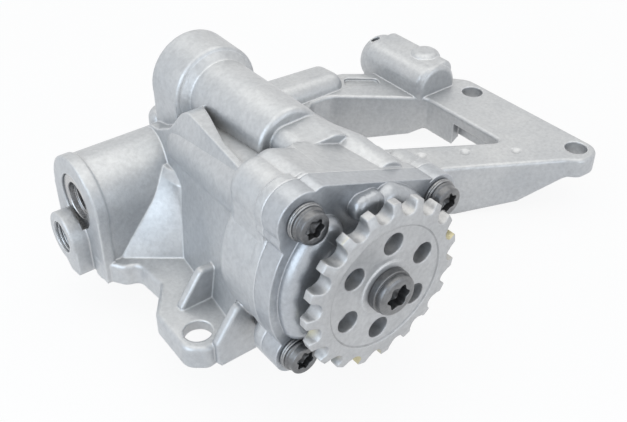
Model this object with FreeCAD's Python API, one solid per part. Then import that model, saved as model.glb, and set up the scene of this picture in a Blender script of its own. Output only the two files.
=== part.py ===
"""Engine oil pump with a chain sprocket, a gerotor set and a relief valve.

The origin is on the drive shaft's axis, in the plane of the sprocket's front face.
+Y runs from the sprocket back along the shaft, +X towards the mounting frame, +Z up,
away from the mounting face. All sizes are in millimetres.
"""
import FreeCAD, Part
import math
import os

V = FreeCAD.Vector
os.makedirs("parts", exist_ok=True)

# Chain sprocket
TEETH = 19
CHAIN_PITCH = 8.0
CHAIN_ROLLER = 5.0
SPROCKET_THICK = 4.6
TOOTH_TIP_THICK = 2.8
TOOTH_TIP_ABOVE_PITCH = 1.4
TOOTH_CHAMFER_DEPTH = 3.0
SPROCKET_PHASE = 122.4
LIGHTENING_HOLES = 6
LIGHTENING_HOLE_R = 3.3
LIGHTENING_CIRCLE_R = 13.6
LIGHTENING_PHASE = 82.5
SPROCKET_STEP_R = 18.8
SPROCKET_STEP_DEPTH = 0.4

# Sprocket screw
HEAD_R = 6.65
HEAD_HEIGHT = 4.6
HEAD_CHAMFER = 0.5
HUB_THREAD_R = 4.0
HUB_THREAD_LENGTH = 18.0
HUB_RECESS_R = 4.2
HUB_RECESS_DEPTH = 3.0

# Cover and its screws
COVER_FACE_Y = 11.5
JOINT_Y = 18.0
FLANGE_STEP = 0.3
SCREW_ANGLES = [127.8, 21.3, 222.0, 312.8]
SCREW_OUTSIDE_ROTOR = [6.4, 6.5, 5.2, 5.9]
EAR_R = [8.0, 6.6, 6.6, 6.6]
COVER_SCREW_R = 2.5
COVER_SCREW_HEAD_R = 4.3
COVER_SCREW_HEAD_HEIGHT = 3.1
COVER_SCREW_GRIP = 10.0
COVER_RECESS_R = 2.4
COVER_RECESS_DEPTH = 2.0
WASHER_R = 5.3
WASHER_THICK = 1.5
SCREW_HOLE_CLEARANCE = 0.3
DOME_HEIGHT = 4.6
TOP_LINE_OUTSIDE_ROTOR = 1.7
TOP_LINE_ANGLE = 69.9
COVER_HUB_R = 8.6
COVER_HUB_GAP = 0.4
DOWEL_R = 2.5
DOWEL_LENGTH = 8.0
DOWEL_FIT = 0.02
DOWEL_ANGLES = [109.7, 344.6]
DOWEL_OUTSIDE_ROTOR = [4.8, 2.9]

# Rotor set
OUTER_LOBES = 7
ECCENTRICITY = 2.0
ECCENTRIC_ANGLE = 175.0
LOBE_CENTRE_R = 19.5
LOBE_R = 7.0
TIP_CLEARANCE = 0.08
OUTER_ROTOR_R = 23.5
ROTOR_THICK = 14.0
CHAMBER_CLEARANCE = 0.06
END_CLEARANCE = 0.05
PORT_DEPTH = 2.4
PORT_INNER_R = 11.0
PORT_OUTER_R = 15.8
PORT_HALF_SPAN = 62.0

# Drive shaft
SHAFT_R = 6.0
SHAFT_NOSE_R = 5.0
SHAFT_FLAT = 0.9
SHAFT_REAR_Y = 50.0
BUSH_WALL = 1.5
BUSH_CLEARANCE = 0.04
REAR_BUSH_LENGTH = 11.0

# Housing: drum, gallery and collar
DRUM_WALL = 5.7
DRUM_REAR_Y = 36.0
DRUM_EDGE = 2.6
FLANGE_THICK = 3.2
GALLERY_X = 4.0
GALLERY_Z = 19.0
GALLERY_R = 11.1
GALLERY_FRONT_Y = 46.6
GALLERY_EDGE = 1.5
NECK_LEFT = (1.4, 21.2, 4.8)
NECK_RIGHT = (9.0, 19.1, 7.1)
CHANNEL_FRONT = (15.0, 16.9, 7.1)
CHANNEL_BEND_Y = 34.0
CHANNEL_TAPER = 1.3
COLLAR_FRONT_Y = 85.0
COLLAR_REAR_Y = 100.0
COLLAR_R = 14.7
COLLAR_FILLET = 2.2
SOCKET_R = 10.6
SOCKET_DEPTH = 13.0
INTAKE_R = 7.6
INTAKE_NECK_R = 4.6
SEAL_WIRE_R = 1.0
LUMP_R = 5.8
LUMP_TOP_Z = 7.8

# Housing: body below the gallery
MOUNT_Z = -30.6
DECK_Z = -23.3
WALL_FRONT_Y = 33.0
WALL_FOOT_X = -26.2
WALL_TOP_X = -18.2
WALL_TURN = 0.13
WALL_TOP_Z = 23.0
RIB_THICK = 2.1
RIB_PROUD = 0.7
WALL_ROUND = 14.0
POCKET_TURN_Y = 54.3
POCKET_REAR_Y = 75.0
POCKET_FLOOR_Z = 3.0
RAMP_R = 9.0
BODY_RIGHT_X = 24.0
BODY_REAR_Y = 104.0
BELLY_Z = -44.0

# Relief valve, along X
VALVE_Y = 94.0
VALVE_Z = -7.4
VALVE_OUTER_R = 14.3
VALVE_FACE_X = -43.9
VALVE_RIM = 0.6
VALVE_RIM_WIDTH = 4.6
SLEEVE_BORE_R = 9.2
SLEEVE_FACE_X = -40.4
SLEEVE_LENGTH = 14.0
SLEEVE_HOLE_R = 4.7
SLEEVE_END_WALL = 2.0
SLEEVE_FIT = 0.03
SNAP_RING_WIRE = 1.2
PISTON_R = 7.5
PISTON_FIT = 0.03
PISTON_LENGTH = 16.0
PISTON_FRONT_X = 6.0
PISTON_WALL = 1.4
PISTON_CROWN = 4.0
SPRING_WIRE_R = 0.85
SPRING_COILS = 5.5
SPRING_SIDE_GAP = 0.25

# Side port boss beside the valve
SIDE_PORT_Y = 96.6
SIDE_PORT_Z = -20.3
SIDE_PORT_FACE_X = -49.5
SIDE_PORT_BOSS_R = 8.3
SIDE_PORT_R = 5.4
SIDE_PORT_DEPTH = 4.5
SIDE_PILOT_R = 2.6
SIDE_PILOT_DEPTH = 16.0

# Foot
FOOT_X = -36.2
FOOT_Y = 37.6
FOOT_HOLE_R = 4.2
FOOT_PLATE = 3.4
FOOT_SKIRT = 1.6
GUSSET_TOP_Z = 1.6
GUSSET_BEVEL = 2.2
WEB_THICK = 3.2
WEB_KNEE_X = -28.2
WEB_KNEE_Z = -12.2
WEB_TOP_Z = -13.0
FRONT_WEB_Y = 28.3
REAR_WEB_Y = 47.2

# Mounting frame
FRAME_PLATE = 4.5
FRAME_WALL = 3.6
RIB_WALL = 3.0
FRAME_HOLE_X = 125.2
FRONT_HOLE_Y = 33.9
REAR_HOLE_Y = 86.7
FRAME_BOSS_R = 7.6
FRAME_INNER_X = 106.9
FRAME_OUTER_X = 132.0
BARREL_X = 113.7
BARREL_Z = -21.8
BARREL_R = 10.0
BARREL_FRONT_Y = 95.5
BARREL_REAR_Y = 136.0
PAD_HEIGHT = 1.4
ROOT_FRONT_Y = 120.4
ROOT_REAR_Y = 140.0
ROOT_TOP_Z = -14.6
ROOT_END_X = 87.5
ROOT_ROUND = 6.0
ROOT_DROP = 2.7
EDGE_ROUND = 1.3

# Outlet
OUTLET_X = 12.0
OUTLET_Y = 62.0
OUTLET_R = 7.0
OUTLET_SEAL_R = 9.6

PITCH_R = CHAIN_PITCH / (2 * math.sin(math.pi / TEETH))
WALL_SLOPE = (WALL_TOP_X - WALL_FOOT_X) / (WALL_TOP_Z - DECK_Z)
CHAMBER_DEPTH = ROTOR_THICK + 2 * END_CLEARANCE
CHAMBER_FLOOR_Y = JOINT_Y + CHAMBER_DEPTH
ROTOR_FRONT_Y = JOINT_Y + END_CLEARANCE
RAMP_SIDE = V(0.42, -0.18, 0.89)
ECC_X = ECCENTRICITY * math.cos(math.radians(ECCENTRIC_ANGLE))
ECC_Z = ECCENTRICITY * math.sin(math.radians(ECCENTRIC_ANGLE))
DRUM_R = OUTER_ROTOR_R + DRUM_WALL
COVER_R = DRUM_R + FLANGE_STEP
TOP_LINE_DISTANCE = OUTER_ROTOR_R + TOP_LINE_OUTSIDE_ROTOR


def around_rotor(angles, outside):
    """Places round the shaft, each so far outside the outer rotor's edge."""
    places = []
    for angle, gap in zip(angles, outside):
        reach = OUTER_ROTOR_R + gap
        places.append((reach * math.cos(math.radians(angle)), reach * math.sin(math.radians(angle))))
    return places


SCREW_PLACES = around_rotor(SCREW_ANGLES, SCREW_OUTSIDE_ROTOR)
DOWEL_PLACES = around_rotor(DOWEL_ANGLES, DOWEL_OUTSIDE_ROTOR)


def wall_x(z, y):
    """X of the drafted left wall, which turns inwards towards the rear."""
    return WALL_FOOT_X + WALL_SLOPE * (z - DECK_Z) + WALL_TURN * max(0.0, y - WALL_FRONT_Y)


def corner(before, point, after, radius):
    """Start, middle and end of the arc that rounds a corner in the plane."""
    a = V(before[0] - point[0], before[1] - point[1], 0).normalize()
    b = V(after[0] - point[0], after[1] - point[1], 0).normalize()
    half = a.getAngle(b) / 2
    run = radius / math.tan(half)
    p = V(point[0], point[1], 0)
    middle = (a + b).normalize()
    centre = p + middle * (radius / math.sin(half))
    return p + a * run, centre - middle * radius, p + b * run


def outline(points, place):
    """Closed wire through (u, v, corner radius) points, set into space by place(u, v)."""
    count = len(points)
    stops = []
    for i, point in enumerate(points):
        radius = point[2] if len(point) > 2 else 0
        if radius:
            stops.append(corner(points[i - 1], point, points[(i + 1) % count], radius))
        else:
            p = V(point[0], point[1], 0)
            stops.append((p, None, p))
    edges = []
    for i, (start, middle, end) in enumerate(stops):
        if middle is not None:
            arc = Part.Arc(place(start.x, start.y), place(middle.x, middle.y), place(end.x, end.y))
            edges.append(arc.toShape())
        following = stops[(i + 1) % count][0]
        if (following - end).Length > 1e-6:
            edges.append(Part.makeLine(place(end.x, end.y), place(following.x, following.y)))
    return Part.Wire(edges)


def prism_y(points, y0, y1):
    wire = outline(points, lambda u, v: V(u, y0, v))
    return Part.Face(wire).extrude(V(0, y1 - y0, 0))


def prism_z(points, z0, z1):
    wire = outline(points, lambda u, v: V(u, v, z0))
    return Part.Face(wire).extrude(V(0, 0, z1 - z0))


def prism_x(points, x0, x1):
    wire = outline(points, lambda u, v: V(x0, u, v))
    return Part.Face(wire).extrude(V(x1 - x0, 0, 0))


def spun_y(points, x, z):
    """Solid of revolution about the line parallel to Y through x, z; points are (radius, y)."""
    wire = outline(points, lambda u, v: V(x + u, v, z))
    return Part.Face(wire).revolve(V(x, 0, z), V(0, 1, 0), 360)


def spun_x(points, y, z):
    """Solid of revolution about the line parallel to X through y, z; points are (radius, x)."""
    wire = outline(points, lambda u, v: V(v, y + u, z))
    return Part.Face(wire).revolve(V(0, y, z), V(1, 0, 0), 360)


def spun_z(points, x, y):
    wire = outline(points, lambda u, v: V(x + u, y, v))
    return Part.Face(wire).revolve(V(x, y, 0), V(0, 0, 1), 360)


def rod_y(radius, y0, y1, x=0.0, z=0.0):
    return Part.makeCylinder(radius, y1 - y0, V(x, y0, z), V(0, 1, 0))


def rod_x(radius, x0, x1, y, z):
    return Part.makeCylinder(radius, x1 - x0, V(x0, y, z), V(1, 0, 0))


def rod_z(radius, z0, z1, x, y):
    return Part.makeCylinder(radius, z1 - z0, V(x, y, z0), V(0, 0, 1))


def joined(shapes):
    body = shapes[0]
    for shape in shapes[1:]:
        body = body.fuse(shape)
    return body.removeSplitter()


def ring_y(major, minor, y, x=0.0, z=0.0):
    return Part.makeTorus(major, minor, V(x, y, z), V(0, 1, 0))


def edges_near(shape, chosen):
    """Edges of the shape whose middle point passes the test."""
    picked = []
    for edge in shape.Edges:
        middle = edge.valueAt((edge.FirstParameter + edge.LastParameter) / 2)
        if chosen(middle):
            picked.append(edge)
    return picked


def save(name, shape):
    solids = shape.Solids
    body = solids[0] if len(solids) == 1 else Part.makeCompound(solids)
    print(name, len(solids), "solid", round(body.Volume), "mm3", body.isValid())
    body.exportStep("parts/" + name + ".step")


def six_lobe(radius, y0, y1, x=0.0, z=0.0):
    """Prism of a six-lobed driver recess, from rounded lobes and hollows."""
    points = []
    for i in range(12):
        angle = math.radians(30 * i)
        reach = radius if i % 2 == 0 else radius * 0.72
        round_off = radius * (0.14 if i % 2 == 0 else 0.2)
        points.append((x + reach * math.cos(angle), z + reach * math.sin(angle), round_off))
    return prism_y(points, y0, y1)


def tooth_gap():
    """Cutter for the space between two teeth: a roller seat with flanks that open outwards."""
    seat_r = CHAIN_ROLLER / 2 + 0.05
    reach = PITCH_R + TOOTH_TIP_ABOVE_PITCH + 1.0
    half = seat_r + (reach - PITCH_R) * math.tan(math.radians(17))
    seat = rod_y(seat_r, -1, SPROCKET_THICK + 1, PITCH_R, 0)
    mouth = [(PITCH_R, -seat_r), (reach, -half), (reach, half), (PITCH_R, seat_r)]
    return seat.fuse(prism_y(mouth, -1, SPROCKET_THICK + 1))


def drive_sprocket():
    tip_r = PITCH_R + TOOTH_TIP_ABOVE_PITCH
    inset = (SPROCKET_THICK - TOOTH_TIP_THICK) / 2
    rim_r = tip_r - TOOTH_CHAMFER_DEPTH
    disc = spun_y([(0, 0), (rim_r, 0), (tip_r, inset), (tip_r, SPROCKET_THICK - inset),
                   (rim_r, SPROCKET_THICK), (0, SPROCKET_THICK)], 0, 0)
    cutters = [rod_y(SHAFT_NOSE_R, -1, SPROCKET_THICK + 1)]
    step = rod_y(SPROCKET_STEP_R, -1, SPROCKET_STEP_DEPTH)
    cutters.append(step.cut(rod_y(HEAD_R + 1.6, -2, 2)))
    gap = tooth_gap()
    for i in range(TEETH):
        turned = gap.copy()
        turned.rotate(V(0, 0, 0), V(0, -1, 0), SPROCKET_PHASE + (i + 0.5) * 360 / TEETH)
        cutters.append(turned)
    for i in range(LIGHTENING_HOLES):
        angle = math.radians(LIGHTENING_PHASE + i * 360 / LIGHTENING_HOLES)
        x = LIGHTENING_CIRCLE_R * math.cos(angle)
        z = LIGHTENING_CIRCLE_R * math.sin(angle)
        cutters.append(rod_y(LIGHTENING_HOLE_R, -1, SPROCKET_THICK + 1, x, z))
    return disc.cut(cutters)


def sprocket_screw():
    profile = [(0, -HEAD_HEIGHT), (HEAD_R, -HEAD_HEIGHT, HEAD_CHAMFER), (HEAD_R, 0),
               (HUB_THREAD_R, 0), (HUB_THREAD_R, HUB_THREAD_LENGTH), (0, HUB_THREAD_LENGTH)]
    screw = spun_y(profile, 0, 0)
    recess = six_lobe(HUB_RECESS_R, -HEAD_HEIGHT - 1, -HEAD_HEIGHT + HUB_RECESS_DEPTH)
    return screw.cut(recess)


def rotor_flats(radius, y0, y1):
    """Round bar with two opposite flats, which carries the inner rotor."""
    half = radius - SHAFT_FLAT
    bar = rod_y(radius, y0, y1)
    block = [(-half, -radius - 1), (half, -radius - 1), (half, radius + 1), (-half, radius + 1)]
    return bar.common(prism_y(block, y0, y1))


def drive_shaft():
    rotor_end = ROTOR_FRONT_Y + ROTOR_THICK
    pieces = [rod_y(SHAFT_NOSE_R, 0, SPROCKET_THICK),
              rod_y(SHAFT_R, SPROCKET_THICK, ROTOR_FRONT_Y),
              rotor_flats(SHAFT_R, ROTOR_FRONT_Y, rotor_end),
              spun_y([(0, rotor_end), (SHAFT_R, rotor_end), (SHAFT_R, SHAFT_REAR_Y, 1.0),
                      (0, SHAFT_REAR_Y)], 0, 0)]
    return joined(pieces).cut(rod_y(HUB_THREAD_R, -1, HUB_THREAD_LENGTH + 1))


def lobe_path(t):
    """Point and direction of the path of a lobe's centre, seen from the inner rotor."""
    e, radius, lobes = ECCENTRICITY, LOBE_CENTRE_R, OUTER_LOBES
    x = e * math.cos(lobes * t) + radius * math.cos(t)
    z = e * math.sin(lobes * t) + radius * math.sin(t)
    dx = -e * lobes * math.sin(lobes * t) - radius * math.sin(t)
    dz = e * lobes * math.cos(lobes * t) + radius * math.cos(t)
    return x, z, dx, dz


def rotor_curve(offset, points_per_lobe):
    """Evenly spaced points of the inner rotor: the inward parallel of the lobe centre's path."""
    lobes = OUTER_LOBES - 1
    fine = 4000 * lobes
    dense = []
    for i in range(fine + 1):
        x, z, dx, dz = lobe_path(2 * math.pi * i / fine)
        length = math.hypot(dx, dz)
        dense.append((x - offset * dz / length, z + offset * dx / length))
    travelled = [0.0]
    for a, b in zip(dense, dense[1:]):
        travelled.append(travelled[-1] + math.dist(a, b))
    count = lobes * points_per_lobe
    points = []
    at = 0
    for i in range(count):
        goal = travelled[-1] * i / count
        while travelled[at] < goal:
            at += 1
        points.append(dense[at])
    return points


def turned_to_eccentric(shape):
    shape.rotate(V(0, 0, 0), V(0, -1, 0), ECCENTRIC_ANGLE)
    return shape


def inner_rotor():
    points = [V(x, ROTOR_FRONT_Y, z) for x, z in rotor_curve(LOBE_R + TIP_CLEARANCE, 12)]
    curve = Part.BSplineCurve()
    curve.interpolate(points, PeriodicFlag=True)
    body = Part.Face(Part.Wire(curve.toShape())).extrude(V(0, ROTOR_THICK, 0))
    body = turned_to_eccentric(body)
    return body.cut(rotor_flats(SHAFT_R, ROTOR_FRONT_Y - 1, ROTOR_FRONT_Y + ROTOR_THICK + 1))


def outer_rotor():
    end_y = ROTOR_FRONT_Y + ROTOR_THICK
    hollow_r = LOBE_CENTRE_R - LOBE_R + 2 * ECCENTRICITY + TIP_CLEARANCE
    ring = rod_y(OUTER_ROTOR_R, ROTOR_FRONT_Y, end_y).cut(rod_y(hollow_r, 0, end_y + 1))
    lobes = []
    for i in range(OUTER_LOBES):
        angle = 2 * math.pi * i / OUTER_LOBES
        x = LOBE_CENTRE_R * math.cos(angle)
        z = LOBE_CENTRE_R * math.sin(angle)
        lobes.append(rod_y(LOBE_R, ROTOR_FRONT_Y, end_y, x, z))
    disc = rod_y(OUTER_ROTOR_R, ROTOR_FRONT_Y, end_y)
    body = ring.multiFuse([lobe.common(disc) for lobe in lobes]).removeSplitter()
    body = turned_to_eccentric(body)
    body.translate(V(ECC_X, 0, ECC_Z))
    return body


def port(side, y0, y1):
    """Kidney port beside the rotors; side is +1 above the line of centres and -1 below it."""
    middle = ECCENTRIC_ANGLE + 90 if side < 0 else ECCENTRIC_ANGLE - 90
    start = math.radians(middle - PORT_HALF_SPAN)
    ring = rod_y(PORT_OUTER_R, y0, y1).cut(rod_y(PORT_INNER_R, y0 - 1, y1 + 1))
    reach = 3 * PORT_OUTER_R
    fan = [(0.0, 0.0)]
    for i in range(5):
        angle = start + i * math.radians(2 * PORT_HALF_SPAN) / 4
        fan.append((reach * math.cos(angle), reach * math.sin(angle)))
    return ring.common(prism_y(fan, y0 - 1, y1 + 1))


def above_top_line():
    """Space above the straight top edge of the flange and the drum."""
    angle = math.radians(TOP_LINE_ANGLE)
    nx, nz = math.cos(angle), math.sin(angle)
    points = []
    for along, out in ((-90, 0), (90, 0), (90, 90), (-90, 90)):
        reach = TOP_LINE_DISTANCE + out
        points.append((reach * nx - along * nz, reach * nz + along * nx))
    return prism_y(points, -10, 90)


def top_corner(y0, y1):
    """Block under the straight top edge, with the chamfered corner at the upper left screw."""
    x, z = SCREW_PLACES[0]
    return prism_y([(x + 5.7, z + 7.9, 3.0), (x - 6.5, z + 4.0, 4.5), (x - 7.7, z - 5.1, 3.0), (-20.0, 8.0),
                    (4.0, 4.0), (DRUM_R - 3.7, 17.5)], y0, y1)


def flange(y0, y1):
    """Joint flange: a round body cut by the straight top edge, and four screw ears."""
    pieces = [rod_y(COVER_R, y0, y1).cut(above_top_line()), top_corner(y0, y1)]
    for (x, z), radius in zip(SCREW_PLACES, EAR_R):
        pieces.append(rod_y(radius, y0, y1, x, z))
        pieces.append(strap(x, z, radius, x * 0.55, z * 0.55, radius, y0, y1))
    return joined(pieces)


def strap(x0, z0, r0, x1, z1, r1, y0, y1):
    """Prism over the two outer tangents of two circles, without the round ends."""
    gap = math.hypot(x1 - x0, z1 - z0)
    along = math.atan2(z1 - z0, x1 - x0)
    lean = math.acos((r0 - r1) / gap)
    points = []
    for x, z, r, sign in ((x0, z0, r0, 1), (x1, z1, r1, 1), (x1, z1, r1, -1), (x0, z0, r0, -1)):
        angle = along + sign * lean
        points.append((x + r * math.cos(angle), z + r * math.sin(angle)))
    return prism_y(points, y0, y1)


def kidney_dome(inner_r, outer_r, start, end, height):
    """Raised rounded channel on the cover, over one port; angles in degrees from +X to +Z."""
    base = COVER_FACE_Y + 0.5
    top = COVER_FACE_Y - height
    edge = (outer_r - inner_r) * 0.32
    profile = [(inner_r, base), (inner_r, top, edge), (outer_r, top, edge), (outer_r, base)]
    wire = outline(profile, lambda u, v: V(u, v, 0))
    arm = Part.Face(wire).revolve(V(0, 0, 0), V(0, -1, 0), end - start)
    arm.rotate(V(0, 0, 0), V(0, -1, 0), start)
    middle = (inner_r + outer_r) / 2
    half = (outer_r - inner_r) / 2
    ends = []
    for angle in (start, end):
        a = math.radians(angle)
        ends.append(spun_y([(0, base), (half + 0.12, base), (half + 0.12, top + 0.1, edge), (0, top + 0.1)],
                           middle * math.cos(a), middle * math.sin(a)))
    return joined([arm] + ends)


def front_cover():
    plate = flange(COVER_FACE_Y, JOINT_Y)
    domes = [kidney_dome(15.5, 26.8, 128, 202, DOME_HEIGHT * 0.9),
             kidney_dome(13.6, 25.0, 26, 66, DOME_HEIGHT),
             kidney_dome(17.2, 24.2, 84, 93, DOME_HEIGHT * 0.86)]
    hub_top = SPROCKET_THICK + COVER_HUB_GAP
    hub = spun_y([(0, JOINT_Y), (0, hub_top), (COVER_HUB_R, hub_top, 0.6),
                  (COVER_HUB_R, COVER_FACE_Y), (COVER_HUB_R + 1.6, JOINT_Y)], 0, 0)
    body = joined([plate] + domes + [hub])
    cutters = [rod_y(SHAFT_R + BUSH_CLEARANCE + BUSH_WALL, 0, JOINT_Y + 1)]
    for x, z in SCREW_PLACES:
        cutters.append(rod_y(COVER_SCREW_R + SCREW_HOLE_CLEARANCE, 0, JOINT_Y + 1, x, z))
        cutters.append(rod_y(WASHER_R + 0.4, 0, COVER_FACE_Y, x, z))
    for x, z in DOWEL_PLACES:
        cutters.append(rod_y(DOWEL_R + DOWEL_FIT, JOINT_Y - DOWEL_LENGTH / 2, JOINT_Y + 1, x, z))
    for side in (1, -1):
        cutters.append(port(side, JOINT_Y - PORT_DEPTH, JOINT_Y + 1))
    return body.cut(cutters)


def cover_washers():
    washers = []
    for x, z in SCREW_PLACES:
        top = COVER_FACE_Y - WASHER_THICK
        ring = spun_y([(0, COVER_FACE_Y), (WASHER_R, COVER_FACE_Y), (WASHER_R, top, 0.35), (0, top)],
                      x, z)
        washers.append(ring.cut(rod_y(COVER_SCREW_R + 0.02, 0, COVER_FACE_Y + 1, x, z)))
    return Part.makeCompound(washers)


def cover_screws():
    screws = []
    seat = COVER_FACE_Y - WASHER_THICK
    top = seat - COVER_SCREW_HEAD_HEIGHT
    tip = JOINT_Y + COVER_SCREW_GRIP
    for x, z in SCREW_PLACES:
        profile = [(0, top), (COVER_SCREW_HEAD_R, top, 0.4), (COVER_SCREW_HEAD_R, seat),
                   (COVER_SCREW_R, seat), (COVER_SCREW_R, tip), (0, tip)]
        recess = six_lobe(COVER_RECESS_R, top - 1, top + COVER_RECESS_DEPTH, x, z)
        screws.append(spun_y(profile, x, z).cut(recess))
    return Part.makeCompound(screws)


def cover_dowels():
    dowels = []
    for x, z in DOWEL_PLACES:
        low, high = JOINT_Y - DOWEL_LENGTH / 2, JOINT_Y + DOWEL_LENGTH / 2
        sleeve = rod_y(DOWEL_R, low, high, x, z)
        dowels.append(sleeve.cut(rod_y(DOWEL_R - 0.8, low - 1, high + 1, x, z)))
    return Part.makeCompound(dowels)


def bush(y0, y1):
    outer = SHAFT_R + BUSH_CLEARANCE + BUSH_WALL
    return rod_y(outer, y0, y1).cut(rod_y(SHAFT_R + BUSH_CLEARANCE, y0 - 1, y1 + 1))


def crown():
    """Rounded top of the drum at the upper left screw, under the straight top edge."""
    x, z = SCREW_PLACES[0]
    front = JOINT_Y + 1.0
    block = prism_y([(x + 5.1, z + 8.0), (x - 2.7, z + 5.7), (x - 7.1, z + 0.4), (x - 7.1, 8.0), (4.0, 4.0),
                     (24.0, 18.0)], front, DRUM_REAR_Y)
    rear = edges_near(block, lambda p: abs(p.y - DRUM_REAR_Y) < 0.01 and p.z > 9.0)
    along = edges_near(block, lambda p: p.x < -10.0 and p.z > 20.0 and front + 1 < p.y < DRUM_REAR_Y - 1)
    return block.makeFillet(4.5, rear + along)


def circle_y(radius, x, y, z):
    return Part.Wire(Part.makeCircle(radius, V(x, y, z), V(0, 1, 0)))


def suction_channel():
    """Raised channel over the drum that carries the oil from the gallery's neck to the port."""
    x0, z0, r0 = CHANNEL_FRONT
    x1, z1, r1 = NECK_RIGHT
    front = circle_y(r0 - CHANNEL_TAPER, x0 + 0.8, JOINT_Y + 1.0, z0 - 0.2)
    bend = circle_y(r0, x0, CHANNEL_BEND_Y, z0)
    rear = circle_y(r1, x1, GALLERY_FRONT_Y - 2.0, z1)
    return [Part.makeLoft([front, bend], True), Part.makeLoft([bend, rear], True)]


def drum():
    """Rotor drum behind the joint flange, with the bosses that the cover screws go into."""
    body = spun_y([(0, JOINT_Y), (DRUM_R, JOINT_Y), (DRUM_R, DRUM_REAR_Y, DRUM_EDGE), (0, DRUM_REAR_Y)],
                  0, 0)
    pieces = [flange(JOINT_Y, JOINT_Y + FLANGE_THICK), body.cut(above_top_line()), crown()]
    pieces += suction_channel()
    for (x, z), radius, rear in zip(SCREW_PLACES, EAR_R, (DRUM_REAR_Y - 1.5, 31.0, 24.5, 30.0)):
        pieces.append(spun_y([(0, JOINT_Y), (radius - 0.6, JOINT_Y), (radius - 0.6, rear, 3.0),
                              (0, rear)], x, z))
        pieces.append(strap(x, z, radius - 0.6, x * 0.75, z * 0.45, radius, JOINT_Y, rear - 2.6))
    return pieces


def body_section(y):
    """Section of the body behind the drum, with its rounded shoulder and the rib on the wall."""
    rib_x = wall_x(WALL_TOP_Z, y) - 0.5
    points = [(wall_x(MOUNT_Z, y), DECK_Z - 2.0), (wall_x(6.0, y), 15.0, WALL_ROUND),
              (rib_x, WALL_TOP_Z - RIB_PROUD), (rib_x, WALL_TOP_Z), (rib_x + RIB_THICK, WALL_TOP_Z),
              (GALLERY_X, WALL_TOP_Z), (GALLERY_X + 6, GALLERY_Z), (BODY_RIGHT_X, 4.0, 6.0),
              (BODY_RIGHT_X, DECK_Z - 2.0)]
    return outline(points, lambda u, v: V(u, y, v))


def rear_body():
    """Body behind the drum: left wall, rib, deep pocket beside the gallery and its floor."""
    block = Part.makeLoft([body_section(WALL_FRONT_Y), body_section(BODY_REAR_Y)], True, True)
    side = [(0, -80), (BODY_REAR_Y, -80), (BODY_REAR_Y, 1.0), (98.0, 7.3, 5.0), (92.0, 8.6, 6.0),
            (82.0, 14.0, 9.0), (76.0, WALL_TOP_Z, 9.0), (60.0, WALL_TOP_Z + 0.1), (0, WALL_TOP_Z + 0.1)]
    front_x = wall_x(WALL_TOP_Z, 0) - 0.5 + RIB_THICK
    turn_x = wall_x(WALL_TOP_Z, POCKET_TURN_Y) - 0.5 + RIB_THICK
    pocket = prism_z([(front_x, 20.0), (front_x, WALL_FRONT_Y), (turn_x, POCKET_TURN_Y, 6.0),
                      (-9.4, 68.0, 9.0), (-7.6, POCKET_REAR_Y), (GALLERY_X + 2, POCKET_REAR_Y),
                      (GALLERY_X + 2, 20.0)], POCKET_FLOOR_Z, 60)
    body = block.common(prism_x(side, -90, 90)).cut(pocket)
    ramp_low = V(turn_x + 0.2, POCKET_TURN_Y - 3.0, WALL_TOP_Z + 0.4)
    ramp = Part.makeCylinder(RAMP_R, 40.0, ramp_low + RAMP_SIDE * RAMP_R, V(5.4, 12.7, -0.6))
    return body.cut(ramp)


def gallery():
    """Intake gallery along the top, its neck into the drum and the collar that takes the pipe."""
    barrel = spun_y([(0, GALLERY_FRONT_Y), (GALLERY_R, GALLERY_FRONT_Y, GALLERY_EDGE),
                     (GALLERY_R, COLLAR_FRONT_Y - COLLAR_FILLET),
                     (GALLERY_R + COLLAR_FILLET, COLLAR_FRONT_Y),
                     (COLLAR_R - 0.3, COLLAR_FRONT_Y, 1.2), (COLLAR_R, COLLAR_REAR_Y, 0.8),
                     (0, COLLAR_REAR_Y)], GALLERY_X, GALLERY_Z)
    web = prism_y([(GALLERY_X - GALLERY_R + 1.2, 0.0), (GALLERY_X - GALLERY_R + 1.2, GALLERY_Z),
                   (GALLERY_X + GALLERY_R - 0.4, GALLERY_Z), (GALLERY_X + GALLERY_R - 0.4, 0.0)],
                  GALLERY_FRONT_Y + 1.2, COLLAR_FRONT_Y + 2)
    stem = prism_y([(GALLERY_X - COLLAR_R + 0.2, 0.0), (GALLERY_X - COLLAR_R + 0.2, GALLERY_Z),
                    (GALLERY_X + COLLAR_R - 0.2, GALLERY_Z), (GALLERY_X + COLLAR_R - 0.2, 0.0)],
                   COLLAR_FRONT_Y + 1.0, COLLAR_REAR_Y - 0.6)
    neck = []
    for x, z, radius in (NECK_LEFT, NECK_RIGHT):
        neck.append(rod_y(radius, DRUM_REAR_Y - 2, GALLERY_FRONT_Y + 4, x, z))
    neck.append(strap(*NECK_RIGHT, *NECK_LEFT, DRUM_REAR_Y - 2, GALLERY_FRONT_Y + 4))
    left = NECK_LEFT[0] - NECK_LEFT[2]
    neck.append(prism_y([(left, 0.0), (left, NECK_LEFT[1]), (NECK_RIGHT[0] + NECK_RIGHT[2], NECK_RIGHT[1]),
                         (NECK_RIGHT[0] + NECK_RIGHT[2] + 2.0, 0.0)], DRUM_REAR_Y - 6, GALLERY_FRONT_Y + 4))
    lump = spun_z([(0, 0.0), (LUMP_R, 0.0), (LUMP_R, LUMP_TOP_Z, 3.5), (0, LUMP_TOP_Z)],
                  GALLERY_X - COLLAR_R + LUMP_R, BODY_REAR_Y - 0.4)
    return [barrel, web, stem, lump] + neck


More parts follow.
